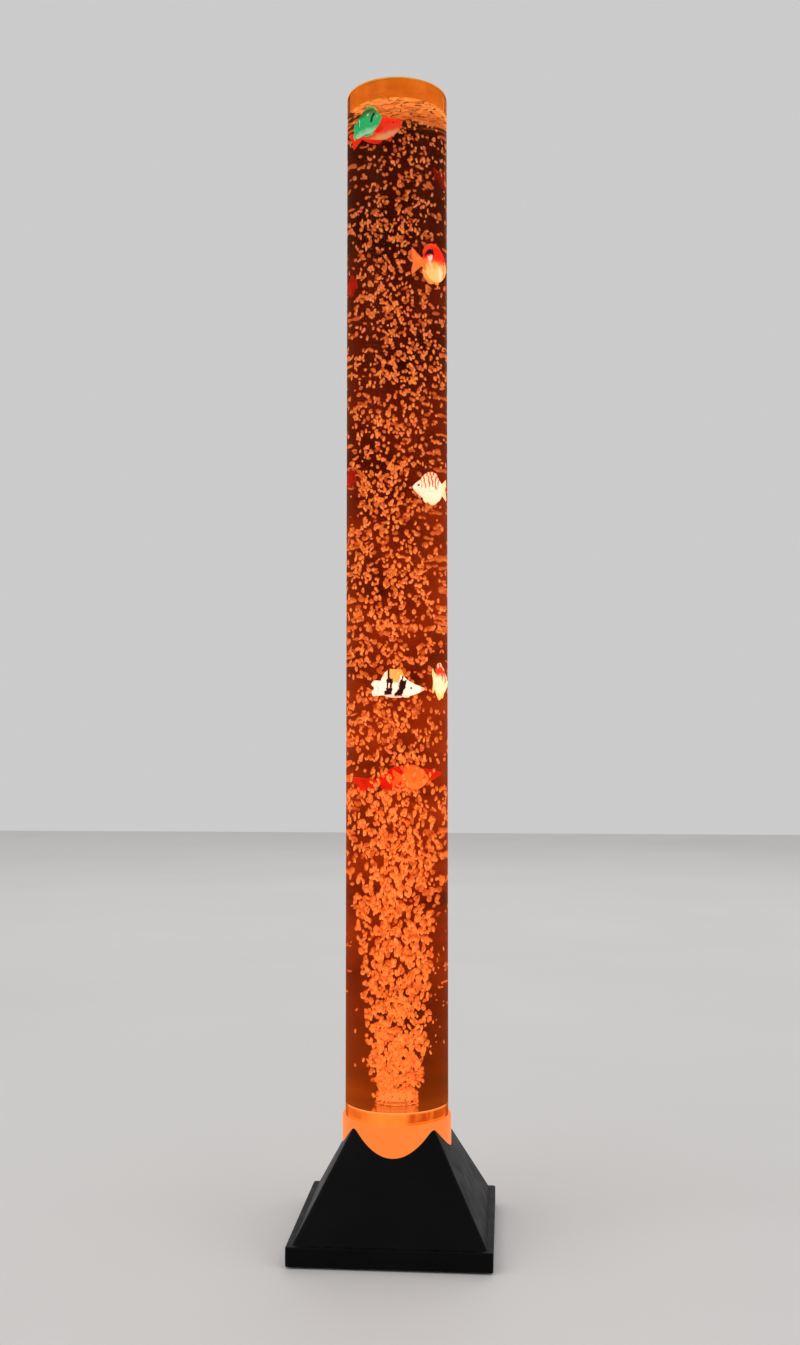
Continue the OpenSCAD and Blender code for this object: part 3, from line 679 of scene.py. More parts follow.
def fish_torso(b, table, l, h, t):
    rows, around = smooth_rows(table, 34), 28
    a = np.arange(around) * 2 * math.pi / around
    verts = []
    for x, up, dn, wd in rows:
        mid, half = (up + dn) / 2, (up - dn) / 2
        ca, sa = np.cos(a), np.sin(a)
        y = 0.5 * t * wd * np.sign(ca) * np.abs(ca) ** 0.85
        z = (mid + half * np.sign(sa) * np.abs(sa) ** 1.05) * h
        # a shallow groove behind the gill cover
        g = math.exp(-((x - 0.24) / 0.012) ** 2)
        y = y * (1 - 0.10 * g)
        verts += list(zip(np.full(around, x * l), y, z))
    n = len(rows)
    faces = [tuple(reversed(f)) for f in grid_faces(n, around)]
    verts.append((rows[-1][0] * l + 0.012 * l, 0, (rows[-1][1] + rows[-1][2]) / 2 * h))
    verts.append((rows[0][0] * l - 0.004 * l, 0, 0))
    tip, tail = len(verts) - 2, len(verts) - 1
    s = (n - 1) * around
    faces += [(s + i, s + (i + 1) % around, tip) for i in range(around)]
    faces += [((i + 1) % around, i, tail) for i in range(around)]
    b.put(verts, faces, 0)


def bezier(points, u):
    """A smooth curve through points at parameters 0..1."""
    t = np.array(points, float)
    s = np.asarray(u) * (len(t) - 1)
    i = np.clip(s.astype(int), 0, len(t) - 2)
    f = (s - i)[:, None]
    p0, p1, p2, p3 = t[np.maximum(i - 1, 0)], t[i], t[i + 1], t[np.minimum(i + 2, len(t) - 1)]
    return 0.5 * (2 * p1 + (p2 - p0) * f + (2 * p0 - 5 * p1 + 4 * p2 - p3) * f ** 2 + (3 * p1 - p0 - 3 * p2 + p3) * f ** 3)


def fin(b, root, tip, l, h, rays, thick=(1.1, 0.5), side=None, mat=1, wave=0.0):
    """A rayed fin between a root and a tip curve of (x, z), with ridges along its rays and a notched edge.
    side gives (y at the root, y at the tip) for fins off the middle plane."""
    nu, nv = rays * 4 + 1, 6
    u = np.linspace(0, 1, nu)
    r, e = bezier(root, u) * [l, h], bezier(tip, u) * [l, h]
    notch = 1 - 0.07 * (0.5 + 0.5 * np.cos(2 * math.pi * rays * u))
    ridge = np.cos(2 * math.pi * rays * u + math.pi)
    sheets = []
    for s in (1, -1):
        rows = []
        for k in range(nv):
            v = k / (nv - 1)
            p = r + (e - r) * (v * notch)[:, None]
            th = 0.5 * (thick[0] * (1 - v) + thick[1] * v)
            y = s * (th + 0.13 * ridge * min(1.0, 0.3 + v))
            y = y + wave * math.sin(v * 2.2) * np.sin(2 * math.pi * u)
            if side:
                y = y + side[0] * (1 - v) + side[1] * v
            rows.append(np.stack([p[:, 0], y, p[:, 1]], 1))
        sheets.append(np.array(rows))
    front, back = sheets
    verts = list(front.reshape(-1, 3)) + list(back.reshape(-1, 3))
    off = nu * nv
    faces = grid_faces(nv, nu, False)
    faces += [tuple(off + i for i in reversed(f)) for f in grid_faces(nv, nu, False)]
    for i in range(nu - 1):
        j = (nv - 1) * nu
        faces.append((j + i, j + i + 1, off + j + i + 1, off + j + i))
        faces.append((i + 1, i, off + i, off + i + 1))
    for k in range(nv - 1):
        faces.append((k * nu, (k + 1) * nu, off + (k + 1) * nu, off + k * nu))
        faces.append(((k + 1) * nu + nu - 1, k * nu + nu - 1, off + k * nu + nu - 1, off + (k + 1) * nu + nu - 1))
    b.put(verts, faces, mat)


def eye(b, x, y, z, r, out):
    """A domed eye on the side of the head: a pale ring and a dark pupil."""
    around = 20
    a = np.arange(around) * 2 * math.pi / around
    prof = [(1.0, -0.30), (1.0, 0.02), (0.86, 0.26), (0.62, 0.42), (0.56, 0.45), (0.50, 0.47), (0.28, 0.55)]
    s = 1 if y > 0 else -1
    verts = [(x + r * p * math.cos(t), y + s * out * q, z + r * p * math.sin(t)) for p, q in prof for t in a]
    verts.append((x, y + s * out * 0.58, z))
    verts.append((x, y - s * out * 0.30, z))
    top, base = len(verts) - 2, len(verts) - 1
    rings = len(prof)
    for j in range(rings - 1):
        f = [(j * around + i, j * around + (i + 1) % around, (j + 1) * around + (i + 1) % around, (j + 1) * around + i) for i in range(around)]
        if s > 0:
            f = [tuple(reversed(q)) for q in f]
        n = len(b.v)
        mat = 2 if j < 4 else 3
        b.f += [tuple(n + i for i in q) for q in f]
        b.m += [mat] * len(f)
        if j < rings - 2:
            continue
    n = len(b.v)
    cap = [((rings - 1) * around + i, (rings - 1) * around + (i + 1) % around, top) for i in range(around)]
    under = [((i + 1) % around, i, base) for i in range(around)]
    if s > 0:
        cap, under = [tuple(reversed(q)) for q in cap], [tuple(reversed(q)) for q in under]
    b.f += [tuple(n + i for i in q) for q in cap + under]
    b.m += [3] * len(cap) + [2] * len(under)
    b.v += verts


def paint(name, l, h, belly_c, flank_c, back_c, marks=(), spots=None, light=0.6, split=(0.30, 0.55), edge=None, rough=0.28):
    """A hand-painted toy: belly to back in soft bands, with marks at (x, width, lean, low, high, colour) in parts of its length and height."""
    m = Mat(name)
    p = m.xyz()
    warp = m.span(m.noise(150.0, 3.0), 0.2, 0.8, -0.05, 0.05)
    ragged = m.math("ADD", warp, m.span(m.noise(520.0, 3.0, 0.6, vec=m.scaled(1.6, 1, 0.6)), 0.2, 0.8, -0.045, 0.045))
    u = m.math("ADD", m.math("MULTIPLY", p["X"], 1000.0 / l), warp)
    v = m.math("ADD", m.math("MULTIPLY", p["Z"], 1000.0 / h), ragged)
    colour = m.ramp(m.span(v, -0.5, 0.5), [(split[0] - 0.06, belly_c), (split[0] + 0.08, flank_c), (split[1], flank_c), (split[1] + 0.16, back_c)])
    if edge:
        colour = m.mix(m.span(u, edge[0], edge[1], 1.0, 0.0, True), colour, edge[2])
    for x, width, lean, low, high, c in marks:
        off = m.math("ABSOLUTE", m.math("SUBTRACT", m.math("ADD", u, m.math("MULTIPLY", v, lean)), x))
        bar = m.span(off, width * 0.42, width * 0.58, 1.0, 0.0, True)
        bar = m.math("MULTIPLY", bar, m.span(v, low - 0.03, low + 0.03, 0.0, 1.0, True))
        bar = m.math("MULTIPLY", bar, m.span(v, high - 0.03, high + 0.03, 1.0, 0.0, True))
        colour = m.mix(bar, colour, c)
    if spots:
        scale, size, c, low, high = spots
        dot = m.span(m.cells(scale), size * 0.8, size, 1.0, 0.0, True)
        dot = m.math("MULTIPLY", dot, m.span(v, low, low + 0.08, 0.0, 1.0))
        dot = m.math("MULTIPLY", dot, m.span(v, high - 0.08, high, 1.0, 0.0))
        colour = m.mix(dot, colour, c)
    scales = m.cells(620.0)
    colour = m.mix(m.span(scales, 0.3, 0.9, 0.0, 0.14), colour, (0.02, 0.01, 0.01, 1))
    m.principled({"Base Color": colour, "Roughness": rough, "Emission Color": colour, "Emission Strength": light,
        "Coat Weight": 0.3, "Coat Roughness": 0.1, "Normal": m.bump(scales, 0.35, 0.0003)})
    return m


def fin_paint(name, l, h, root_c, tip_c, rays, light=0.6, streak=None, behind=None, bars=()):
    """Fin colours from root to tip, with dark rays; streak is a colour for broad rays,
    behind is (x, colour) for its rear part, and bars are (x, width, colour), all in parts of the length."""
    m = Mat(name)
    p = m.xyz()
    r = m.math("SQRT", m.math("ADD", m.math("POWER", m.math("MULTIPLY", p["X"], 1000.0 / l), 2.0),
        m.math("POWER", m.math("MULTIPLY", p["Z"], 1000.0 / h), 2.0)))
    colour = m.ramp(m.span(r, 0.22, 0.55), [(0.0, root_c), (1.0, tip_c)])
    along = m.math("MULTIPLY", p["X"], 1000.0 / l)
    if behind:
        colour = m.mix(m.span(along, behind[0] - 0.02, behind[0] + 0.02, 1.0, 0.0, True), colour, behind[1])
    if streak:
        ray = m.math("SINE", m.math("ADD", m.math("MULTIPLY", along, 2 * math.pi * rays / 0.46), m.span(m.noise(260.0, 2.0), 0.2, 0.8, -1.6, 1.6)))
        colour = m.mix(m.span(ray, -0.15, 0.45, 0.0, 1.0, True), colour, streak)
    for x, width, c in bars:
        off = m.math("ABSOLUTE", m.math("SUBTRACT", along, x))
        colour = m.mix(m.span(off, width * 0.4, width * 0.6, 1.0, 0.0, True), colour, c)
    stripe = m.noise(420.0, 2.0, vec=m.scaled(1.0, 0.2, 0.35))
    colour = m.mix(m.span(stripe, 0.45, 0.65, 0.0, 0.35), colour, (0.10, 0.02, 0.01, 1))
    m.principled({"Base Color": colour, "Roughness": 0.35, "Emission Color": colour, "Emission Strength": light,
        "Normal": m.bump(stripe, 0.3, 0.0003)})
    return m


eye_white = Mat("fish_eye_ring")
ec = eye_white.ramp(eye_white.noise(900.0, 2.0), [(0.3, (0.75, 0.72, 0.62, 1)), (0.7, (0.95, 0.93, 0.85, 1))])
eye_white.principled({"Base Color": ec, "Emission Color": ec, "Emission Strength": 0.7, "Roughness": 0.15})
eye_dark = Mat("fish_eye_pupil")
ed = eye_dark.ramp(eye_dark.noise(1200.0, 2.0), [(0.4, (0.003, 0.003, 0.004, 1)), (0.7, (0.02, 0.015, 0.02, 1))])
eye_dark.principled({"Base Color": ed, "Roughness": 0.08, "Coat Weight": 0.6})

RED, CORAL, PEACH = lin(255, 38, 18), lin(255, 74, 52), lin(255, 190, 130)
CREAM, WHITE, GOLD = lin(255, 225, 165), lin(255, 246, 226), lin(255, 196, 84)
BLACK, TEAL = (0.004, 0.003, 0.006, 1), lin(60, 90, 70)
DUSK = (0.020, 0.006, 0.012, 1)
LOOKS = {
    1: dict(table=BROAD, belly_c=lin(175, 250, 200), flank_c=lin(30, 205, 122), back_c=lin(10, 128, 66), split=(0.20, 0.60),
        marks=[(0.22, 0.085, -0.30, -0.08, 0.20, BLACK), (-0.05, 0.34, -0.2, 0.30, 0.36, lin(8, 74, 40)), (-0.26, 0.035, 0.0, -0.10, 0.16, lin(190, 240, 200)),
            (-0.30, 0.022, 0.0, -0.10, 0.16, lin(8, 84, 48)), (-0.03, 0.10, -0.5, 0.17, 0.22, lin(255, 226, 190))],
        light=0.72, eye=(0.026, "white"), side_fin=False, fins=(lin(20, 150, 78), lin(60, 225, 140))),
    2: dict(table=DEEP_BODY, belly_c=PEACH, flank_c=lin(255, 84, 58), back_c=lin(255, 48, 30), split=(0.24, 0.40),
        marks=[(0.14, 0.035, 0.0, 0.00, 0.08, TEAL)], spots=(240.0, 0.12, lin(190, 30, 26), 0.0, 0.3), light=0.9, fins=(lin(255, 34, 14), RED), eye=(0.030, "coral")),
    3: dict(table=LONG, belly_c=lin(230, 70, 40), flank_c=lin(205, 32, 18), back_c=lin(170, 16, 10), light=0.30, fins=(lin(170, 20, 12), lin(205, 32, 18))),
    4: dict(table=ROUND, belly_c=lin(255, 228, 140), flank_c=lin(255, 190, 100), back_c=lin(255, 40, 18), split=(0.36, 0.46),
        marks=[(-0.09, 0.34, 0.08, 0.19, 0.36, DUSK), (-0.05, 0.10, 0.0, 0.06, 0.15, WHITE), (-0.02, 0.06, 0.2, -0.10, 0.03, lin(255, 222, 190)), (-0.20, 0.14, 0.0, -0.45, 0.05, lin(255, 138, 62)),
            (0.20, 0.10, 0.15, -0.40, -0.06, lin(255, 244, 196)), (0.32, 0.06, 0.1, -0.30, 0.05, lin(255, 160, 80))],
        light=1.15, fins=(lin(255, 44, 22), lin(255, 90, 50)), low=(lin(255, 200, 110), lin(255, 150, 70)), tail=(lin(255, 150, 60), lin(255, 128, 64))),
    5: dict(table=LONG, belly_c=lin(240, 60, 32), flank_c=lin(225, 30, 16), back_c=lin(195, 20, 12), light=0.38, fins=(lin(200, 24, 12), lin(230, 36, 20))),
    6: dict(table=KITE, belly_c=lin(255, 240, 205), flank_c=lin(255, 244, 214), back_c=lin(255, 226, 176), split=(0.16, 0.66),
        marks=[(0.30, 0.030, 0.06, 0.00, 0.30, lin(240, 110, 60)), (0.20, 0.035, 0.05, -0.02, 0.45, lin(235, 96, 52)), (0.10, 0.035, 0.05, 0.00, 0.45, lin(235, 90, 50)),
            (0.00, 0.040, 0.03, 0.02, 0.45, lin(235, 84, 48)), (-0.10, 0.040, 0.03, 0.00, 0.45, lin(235, 84, 48)), (-0.19, 0.035, 0.03, 0.06, 0.45, lin(235, 84, 48))],
        light=1.5, fins=(lin(255, 244, 214), lin(255, 226, 176)), streak=(5, lin(246, 84, 44)), low=(lin(255, 242, 206), lin(255, 214, 150)), tail=(lin(255, 240, 200), lin(255, 206, 140))),
    7: dict(table=LONG, belly_c=lin(240, 60, 32), flank_c=lin(220, 30, 16), back_c=lin(190, 20, 12), light=0.38, fins=(lin(195, 24, 12), lin(225, 36, 20))),
    8: dict(table=FLAT, belly_c=lin(255, 216, 186), flank_c=WHITE, back_c=WHITE, split=(0.06, 0.80),
        marks=[(-0.06, 0.20, 0.0, 0.02, 0.60, lin(255, 176, 88)), (-0.165, 0.115, 0.0, -0.40, 0.16, BLACK), (-0.165, 0.045, 0.0, 0.10, 0.60, BLACK), (0.105, 0.13, -0.24, -0.45, 0.12, BLACK),
            (0.075, 0.040, -0.10, 0.08, 0.36, BLACK), (-0.165, 0.034, 0.0, -0.16, 0.00, WHITE), (0.46, 0.08, 0.0, -0.5, 0.5, lin(255, 200, 180))],
        light=1.5, side_fin=False, eye=(0.034, "white"), eye_at=(0.245, 0.02), fins=(lin(255, 184, 96), lin(250, 170, 88)), behind=(-0.20, WHITE), bars=((-0.165, 0.035, BLACK),),
        low=(lin(255, 232, 206), lin(255, 206, 160)), tail=(WHITE, lin(255, 240, 220))),
    9: dict(table=KITE, belly_c=lin(255, 232, 150), flank_c=lin(255, 250, 200), back_c=lin(245, 60, 30), split=(0.20, 0.56),
        marks=[(0.20, 0.06, 0.35, 0.0, 0.45, lin(245, 60, 30)), (0.02, 0.06, 0.35, 0.0, 0.45, lin(245, 60, 30))], light=1.45,
        fins=(lin(250, 64, 36), lin(235, 50, 30)), streak=(3, lin(255, 230, 190)), low=(lin(255, 232, 160), lin(255, 200, 110)), tail=(lin(255, 246, 200), lin(255, 226, 150))),
    10: dict(table=ROUND, belly_c=lin(255, 152, 66), flank_c=lin(255, 140, 48), back_c=lin(255, 132, 46), light=1.0, eye=(0.028, "coral"),
        fins=(lin(255, 128, 44), lin(250, 100, 36))),
    11: dict(table=LONG, belly_c=lin(255, 80, 44), flank_c=lin(250, 48, 20), back_c=lin(240, 34, 14), light=0.85, eye=(0.026, "coral"), fins=(lin(240, 40, 16), lin(255, 60, 30))),
}
SLOT = {1: "fish_green", 2: "fish_red", 3: "fish_red", 4: "fish_sunset", 5: "fish_red", 6: "fish_cream", 7: "fish_red", 8: "fish_banded",
    9: "fish_lemon", 10: "fish_orange", 11: "fish_red"}
BACK_TIP = {
    "tall": [(0.27, 0.37), (0.19, 0.455), (0.08, 0.493), (-0.01, 0.490), (-0.09, 0.455), (-0.15, 0.39), (-0.20, 0.25)],
    "swept": [(0.25, 0.30), (0.16, 0.40), (0.05, 0.480), (-0.04, 0.485), (-0.12, 0.455), (-0.17, 0.40), (-0.22, 0.25)],
    "sail": [(0.10, 0.30), (0.07, 0.44), (0.01, 0.488), (-0.07, 0.493), (-0.155, 0.485), (-0.24, 0.36), (-0.31, 0.10)],
    "low": [(0.25, 0.36), (0.18, 0.46), (0.09, 0.485), (-0.01, 0.45), (-0.10, 0.37), (-0.17, 0.29), (-0.22, 0.20)],
}
BELLY_TIP = {
    "tall": [(0.10, -0.455), (0.02, -0.492), (-0.06, -0.470), (-0.12, -0.41), (-0.17, -0.33), (-0.21, -0.22)],
    "swept": [(0.06, -0.45), (-0.02, -0.492), (-0.08, -0.480), (-0.14, -0.43), (-0.18, -0.35), (-0.22, -0.22)],
    "sail": [(0.06, -0.485), (-0.02, -0.494), (-0.08, -0.490), (-0.14, -0.480), (-0.19, -0.465), (-0.23, -0.44)],
    "low": [(0.06, -0.42), (0.00, -0.485), (-0.07, -0.46), (-0.13, -0.38), (-0.18, -0.29), (-0.21, -0.20)],
}
FIN_KIND = {1: "tall", 2: "low", 3: "low", 4: "tall", 5: "low", 6: "swept", 7: "low", 8: "sail", 9: "swept", 10: "tall", 11: "low"}
coral_ring = Mat("fish_eye_coral")
cc = coral_ring.ramp(coral_ring.noise(900.0, 2.0), [(0.3, lin(255, 70, 50)), (0.7, lin(255, 110, 84))])
coral_ring.principled({"Base Color": cc, "Emission Color": cc, "Emission Strength": 0.8, "Roughness": 0.2})

for k, (fx, fy, fz, head, up, l, h, t, dn_room, up_room) in FISH.items():
    look = LOOKS[k]
    kind = FIN_KIND[k]
    b = Build()
    table = look["table"]
    fish_torso(b, table, l, h, t)
    rows = smooth_rows(table, 60)

    def top(x):
        return float(np.interp(x, rows[:, 0], rows[:, 1]))

    def bot(x):
        return float(np.interp(x, rows[:, 0], rows[:, 2]))

    def wid(x):
        return float(np.interp(x, rows[:, 0], rows[:, 3])) * 0.5 * t

    # back fin and belly fin
    xs = np.linspace(0.27, -0.17, 7) if kind != "sail" else np.linspace(0.11, -0.28, 7)
    fin(b, [(x, top(x) - 0.045) for x in xs], BACK_TIP[kind], l, h, 9, thick=(1.3, 0.5), mat=1)
    xs = np.linspace(0.10, -0.17, 6)
    fin(b, [(x, bot(x) + 0.045) for x in xs], BELLY_TIP[kind], l, h, 7, thick=(1.2, 0.5), mat=5)
    # small fin under the chest
    root = [(x, bot(x) + 0.05) for x in (0.25, 0.20, 0.15)]
    tip = [(0.20, max(-0.485, bot(0.2) - 0.08)), (0.14, max(-0.49, bot(0.2) - 0.13)), (0.10, max(-0.47, bot(0.2) - 0.10))]
    fin(b, root, tip, l, h, 4, thick=(1.0, 0.5), mat=5)
    # tail
    if kind == "sail":
        root = [(-0.24, 0.08), (-0.27, -0.06), (-0.27, -0.26), (-0.24, -0.40)]
        tip = [(-0.45, 0.10), (-0.495, -0.04), (-0.44, -0.16), (-0.49, -0.30), (-0.46, -0.44)]
    elif k == 1:
        root = [(-0.34, 0.02), (-0.36, -0.08), (-0.36, -0.20), (-0.33, -0.30)]
        tip = [(-0.46, 0.12), (-0.495, -0.04), (-0.475, -0.18), (-0.495, -0.32), (-0.44, -0.46)]
    elif k in (2, 11):
        root = [(-0.20, 0.085), (-0.215, 0.03), (-0.215, -0.03), (-0.20, -0.085)]
        tip = [(-0.46, 0.33), (-0.49, 0.14), (-0.46, -0.02), (-0.49, -0.18), (-0.485, -0.335)]
    else:
        root = [(-0.20, 0.075), (-0.215, 0.03), (-0.215, -0.03), (-0.20, -0.075)]
        tip = [(-0.47, 0.335), (-0.485, 0.20), (-0.435, 0.0), (-0.485, -0.20), (-0.47, -0.335)]
    fin(b, root, tip, l, h, 10, thick=(1.3, 0.5), mat=4, wave=0.35)
    # fins on the flanks
    zc = (top(0.14) + bot(0.14)) / 2
    for s in (1, -1) if look.get("side_fin", True) else ():
        w0 = wid(0.14)
        root = [(0.17, zc + 0.02), (0.16, zc - 0.03), (0.15, zc - 0.08)]
        tip = [(0.04, zc + 0.05), (-0.01, zc - 0.06), (0.03, zc - 0.17)]
        fin(b, root, tip, l, h, 6, thick=(0.7, 0.45), side=(s * (w0 - 0.35), s * (wid(0.02) + 0.6)), mat=5)
    # eyes
    ex, rise = look.get("eye_at", (0.36, 0.06))
    zc = (top(ex) + bot(ex)) / 2
    size, ring = look.get("eye", (0.050, "white"))
    for s in (1, -1):
        eye(b, ex * l, s * (wid(ex) * 0.86), (zc + rise) * h, size * l, 0.8)
    fins, tail, low = look["fins"], look.get("tail", look["fins"]), look.get("low", look["fins"])
    mats = [paint(f"fish_{k}_paint", l, h, look["belly_c"], look["flank_c"], look["back_c"], look.get("marks", ()), look.get("spots"), look["light"],
                look.get("split", (0.30, 0.55))).m,
            fin_paint(f"fish_{k}_back_fin", l, h, fins[0], fins[1], look.get("streak", (9, None))[0], look["light"],
                look.get("streak", (9, None))[1], look.get("behind"), look.get("bars", ())).m,
            coral_ring.m if ring == "coral" else eye_white.m, eye_dark.m,
            fin_paint(f"fish_{k}_tail_fin", l, h, tail[0], tail[1], 9, look["light"]).m,
            fin_paint(f"fish_{k}_low_fin", l, h, low[0], low[1], 9, look["light"]).m]
    ob = mesh_object(f"fish_{k}_toy", np.array(b.v) * MM, b.f, mats, b.m, sharp=50)
    outward(ob)
    ob.matrix_world = Matrix.Translation(Vector((fx, fy, fz)) * MM) @ Matrix.Rotation(math.radians(head), 4, "Z") @ Matrix.Rotation(math.radians(-up), 4, "Y")
    place(ob, f"fish_{k}", SLOT[k], f"fish_{k}")

# ------------------------------------------------------------------ bubbles
rng = np.random.default_rng(7)
bm = bmesh.new()
bmesh.ops.create_icosphere(bm, subdivisions=2, radius=1.0)
BALL_V = np.array([v.co[:] for v in bm.verts])
BALL_F = np.array([[v.index for v in f.verts] for f in bm.faces])
bm.free()


def plume_radius(z):
    return np.interp(z, [137, 147, 156, 180, 210, 250, 280, 300, 340, 380, 430], [15.6, 16.4, 19.5, 22.5, 26, 26.5, 29, 30.5, 36, 43, 47.6])


def crowd(z):
    """Bubbles in each cubic mm of the plume."""
    return np.interp(z, [137, 165, 200, 250, 300, 350, 400, 450, 500, 700, 780, 850, 950, 1100, 1150, 1168],
        [5.4e-3, 4.1e-3, 2.5e-3, 1.72e-3, 1.30e-3, 9.0e-4, 8.0e-4, 7.8e-4, 7.1e-4, 6.4e-4, 6.6e-4, 5.3e-4, 6.3e-4, 5.7e-4, 5.0e-4, 4.2e-4])


ROOMS = [(f, math.cos(math.radians(f[3])), math.sin(math.radians(f[3])), f[5] * abs(math.sin(math.radians(f[4])))) for f in FISH.values()]
LOOK_A = cam.rotation_euler.z            # the side of the tube that the bubbles leave open in front of the fish
CLEAR = [FISH[k] for k in (1, 2, 4, 6, 8, 9)]


def in_room(x, y, z, a, c):
    """True inside the space that a fish drifts in."""
    for (fx, fy, fz, head, up, l, h, t, dn, upr), ca, sa, rise in ROOMS:
        if not fz - h / 2 - rise / 2 - dn - 1 - c < z < fz + h / 2 + rise / 2 + upr + 1 + c:
            continue
        u, v = (x - fx) * ca + (y - fy) * sa, -(x - fx) * sa + (y - fy) * ca
        if abs(u) < l / 2 + 1 + a and abs(v) < t / 2 + 1.2 + a:
            return True
    return False


def before_fish(x, y, z, a, c):
    """True between a fish at rest and the front of the tube."""
    ca, sa = math.cos(LOOK_A), math.sin(LOOK_A)
    p, q = x * ca + y * sa, -x * sa + y * ca
    for fx, fy, fz, head, up, l, h, t, dn, upr in CLEAR:
        fp, fq = fx * ca + fy * sa, -fx * sa + fy * ca
        turn = math.radians(head) - LOOK_A
        if q > fq + abs(math.sin(turn)) * l * 0.25:
            continue
        half = abs(math.cos(turn)) * l / 2 + abs(math.sin(turn)) * t / 2
        zz = z - (q - fq) * (fz - 508) / 1400 / 1.25
        if abs(p - fp) < half * 0.94 + a and abs(zz - fz) < h * 0.47 + c:
            return True
    return False


spots = []
z = 137.0
while z < 1167.0:
    r = plume_radius(z)
    n = crowd(z) * math.pi * r * r * 2.0
    for _ in range(rng.poisson(n)):
        zz = z + rng.uniform(0, 2.0)
        # the column keeps a dense middle for a while after it has spread to the full width
        middle = np.interp(zz, [300, 350, 430, 480, 580], [0.50, 0.66, 0.68, 0.60, 0.50])
        q = r * rng.uniform() ** middle * (1 if rng.uniform() < 0.93 else rng.uniform(1.0, 1.12))
        th = rng.uniform(0, 2 * math.pi)
        grow = np.interp(zz, [140, 330, 480, 900, 1168], [1.38, 1.36, 1.14, 1.0, 0.90])
        tall = np.interp(zz, [150, 230, 420, 520, 700], [1.0, 1.24, 1.28, 1.08, 1.0])
        a1, a2 = rng.uniform(0.85, 1.60) * grow, rng.uniform(0.85, 1.60) * grow
        c = max(a1, a2) * rng.uniform(1.05, 2.1) * tall
        a1, a2 = a1 / tall ** 0.4, a2 / tall ** 0.4
        q = min(q, 48.6 - max(a1, a2))
        spots.append((q * math.cos(th), q * math.sin(th), zz, a1, a2, c))
        if rng.uniform() < 0.32:     # a neighbour that merges with it
            th2 = rng.uniform(0, 2 * math.pi)
            d = rng.uniform(0.9, 1.5) * (a1 + 0.9)
            x2, y2 = q * math.cos(th) + d * math.cos(th2), q * math.sin(th) + d * math.sin(th2)
            if math.hypot(x2, y2) < 46.5:
                spots.append((x2, y2, zz + rng.uniform(-3, 3), rng.uniform(0.65, 1.1) * grow, rng.uniform(0.65, 1.1) * grow, rng.uniform(1.2, 2.3) * grow))
    z += 2.0
# small ones that cling to the diffuser's top and rim, and to the floor round it
for i in range(430):
    th = rng.uniform(0, 2 * math.pi)
    if i >= 260:
        a1 = rng.uniform(0.6, 0.9)
        q = 14.7 + a1 * 0.8 + rng.uniform(0, 0.9)
        c = rng.uniform(0.45, 0.75)
        spots.append((q * math.cos(th), q * math.sin(th), 136.65 + c + rng.uniform(0, 0.8), a1, a1, c))
    elif i < 130:
        c = rng.uniform(0.9, 1.6)
        q = 14.0 * math.sqrt(rng.uniform())
        spots.append((q * math.cos(th), q * math.sin(th), 148.5 + c, rng.uniform(0.9, 1.4), rng.uniform(0.9, 1.4), c))
    else:
        a1 = rng.uniform(0.6, 0.95)
        q = 14.6 + a1 * 0.8 + rng.uniform(0, 0.5)
        spots.append((q * math.cos(th), q * math.sin(th), rng.uniform(138.2, 149.5), a1, a1, rng.uniform(0.8, 1.4)))
# strays in the clear water beside the plume
for i in range(90):
    zz = rng.uniform(150, 385)
    q, th = rng.uniform(plume_radius(zz) + 2, 47.5), rng.uniform(0, 2 * math.pi)
    if i % 2:
        th = rng.uniform(-0.9, 0.7)
        zz = rng.uniform(190, 330)
    big = rng.uniform(0.5, 1.2)
    spots.append((q * math.cos(th), q * math.sin(th), zz, big, big * 0.9, big * rng.uniform(1.3, 2.6)))


def fits(s):
    x, y, z, a1, a2, c = s
    a = max(a1, a2)
    q = math.hypot(x, y)
    if q + a > 49.5 or not 136.6 + c < z < 1168.2 - c:
        return False
    if z - c < 148.4 and q - a * 0.8 < DIFFUSER + 0.2:
        return False
    return not in_room(x, y, z, a, c * 0.8) and not before_fish(x, y, z, a, c)


dmin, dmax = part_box("diffuser")
DIFFUSER = (dmax[0] - dmin[0]) * 500
spots = [s for s in spots if fits(s)]

bubble = Mat("bubble_light")
bp = bubble.xyz()
reach = bubble.math("SQRT", bubble.math("ADD", bubble.math("POWER", bp["X"], 2.0), bubble.math("POWER", bp["Y"], 2.0)))
# painted light: the bubbles glow, brighter towards the column's axis, with painted glints
near_c = bubble.ramp(bubble.span(reach, 0.0, 0.050), [(0.0, (1.55, 0.45, 0.112, 1)), (0.45, (1.32, 0.355, 0.088, 1)), (1.0, (1.06, 0.250, 0.056, 1))])
tone = bubble.ramp(bubble.noise(250.0, 2.0, 0.5, vec=bubble.scaled(1, 1, 0.8)), [(0.28, (0.36, 0.13, 0.04, 1)), (0.42, (0.84, 0.70, 0.52, 1)), (0.54, (1.0, 1.0, 1.0, 1)), (0.75, (1.10, 1.24, 1.45, 1))])
glint = bubble.span(bubble.noise(760.0, 2.0), 0.60, 0.68, 0.0, 0.60, True)
near_c = bubble.mix(glint, near_c, (1.55, 0.66, 0.32, 1))
# the light comes from below, so the upper side of each bubble is dim and red
under = bubble.xyz(bubble.add("ShaderNodeNewGeometry").outputs["Normal"])["Z"]
lit_side = bubble.ramp(bubble.span(under, -1.0, 1.0), [(0.0, (1.08, 1.14, 1.2, 1)), (0.45, (1.03, 1.04, 1.04, 1)), (0.70, (0.86, 0.68, 0.50, 1)), (0.95, (0.46, 0.20, 0.08, 1))])
near_c = bubble.mix(bubble.span(bp["Z"], 0.16, 0.32, 0.45, 1.0), near_c, bubble.mix(1.0, near_c, lit_side, "MULTIPLY"))
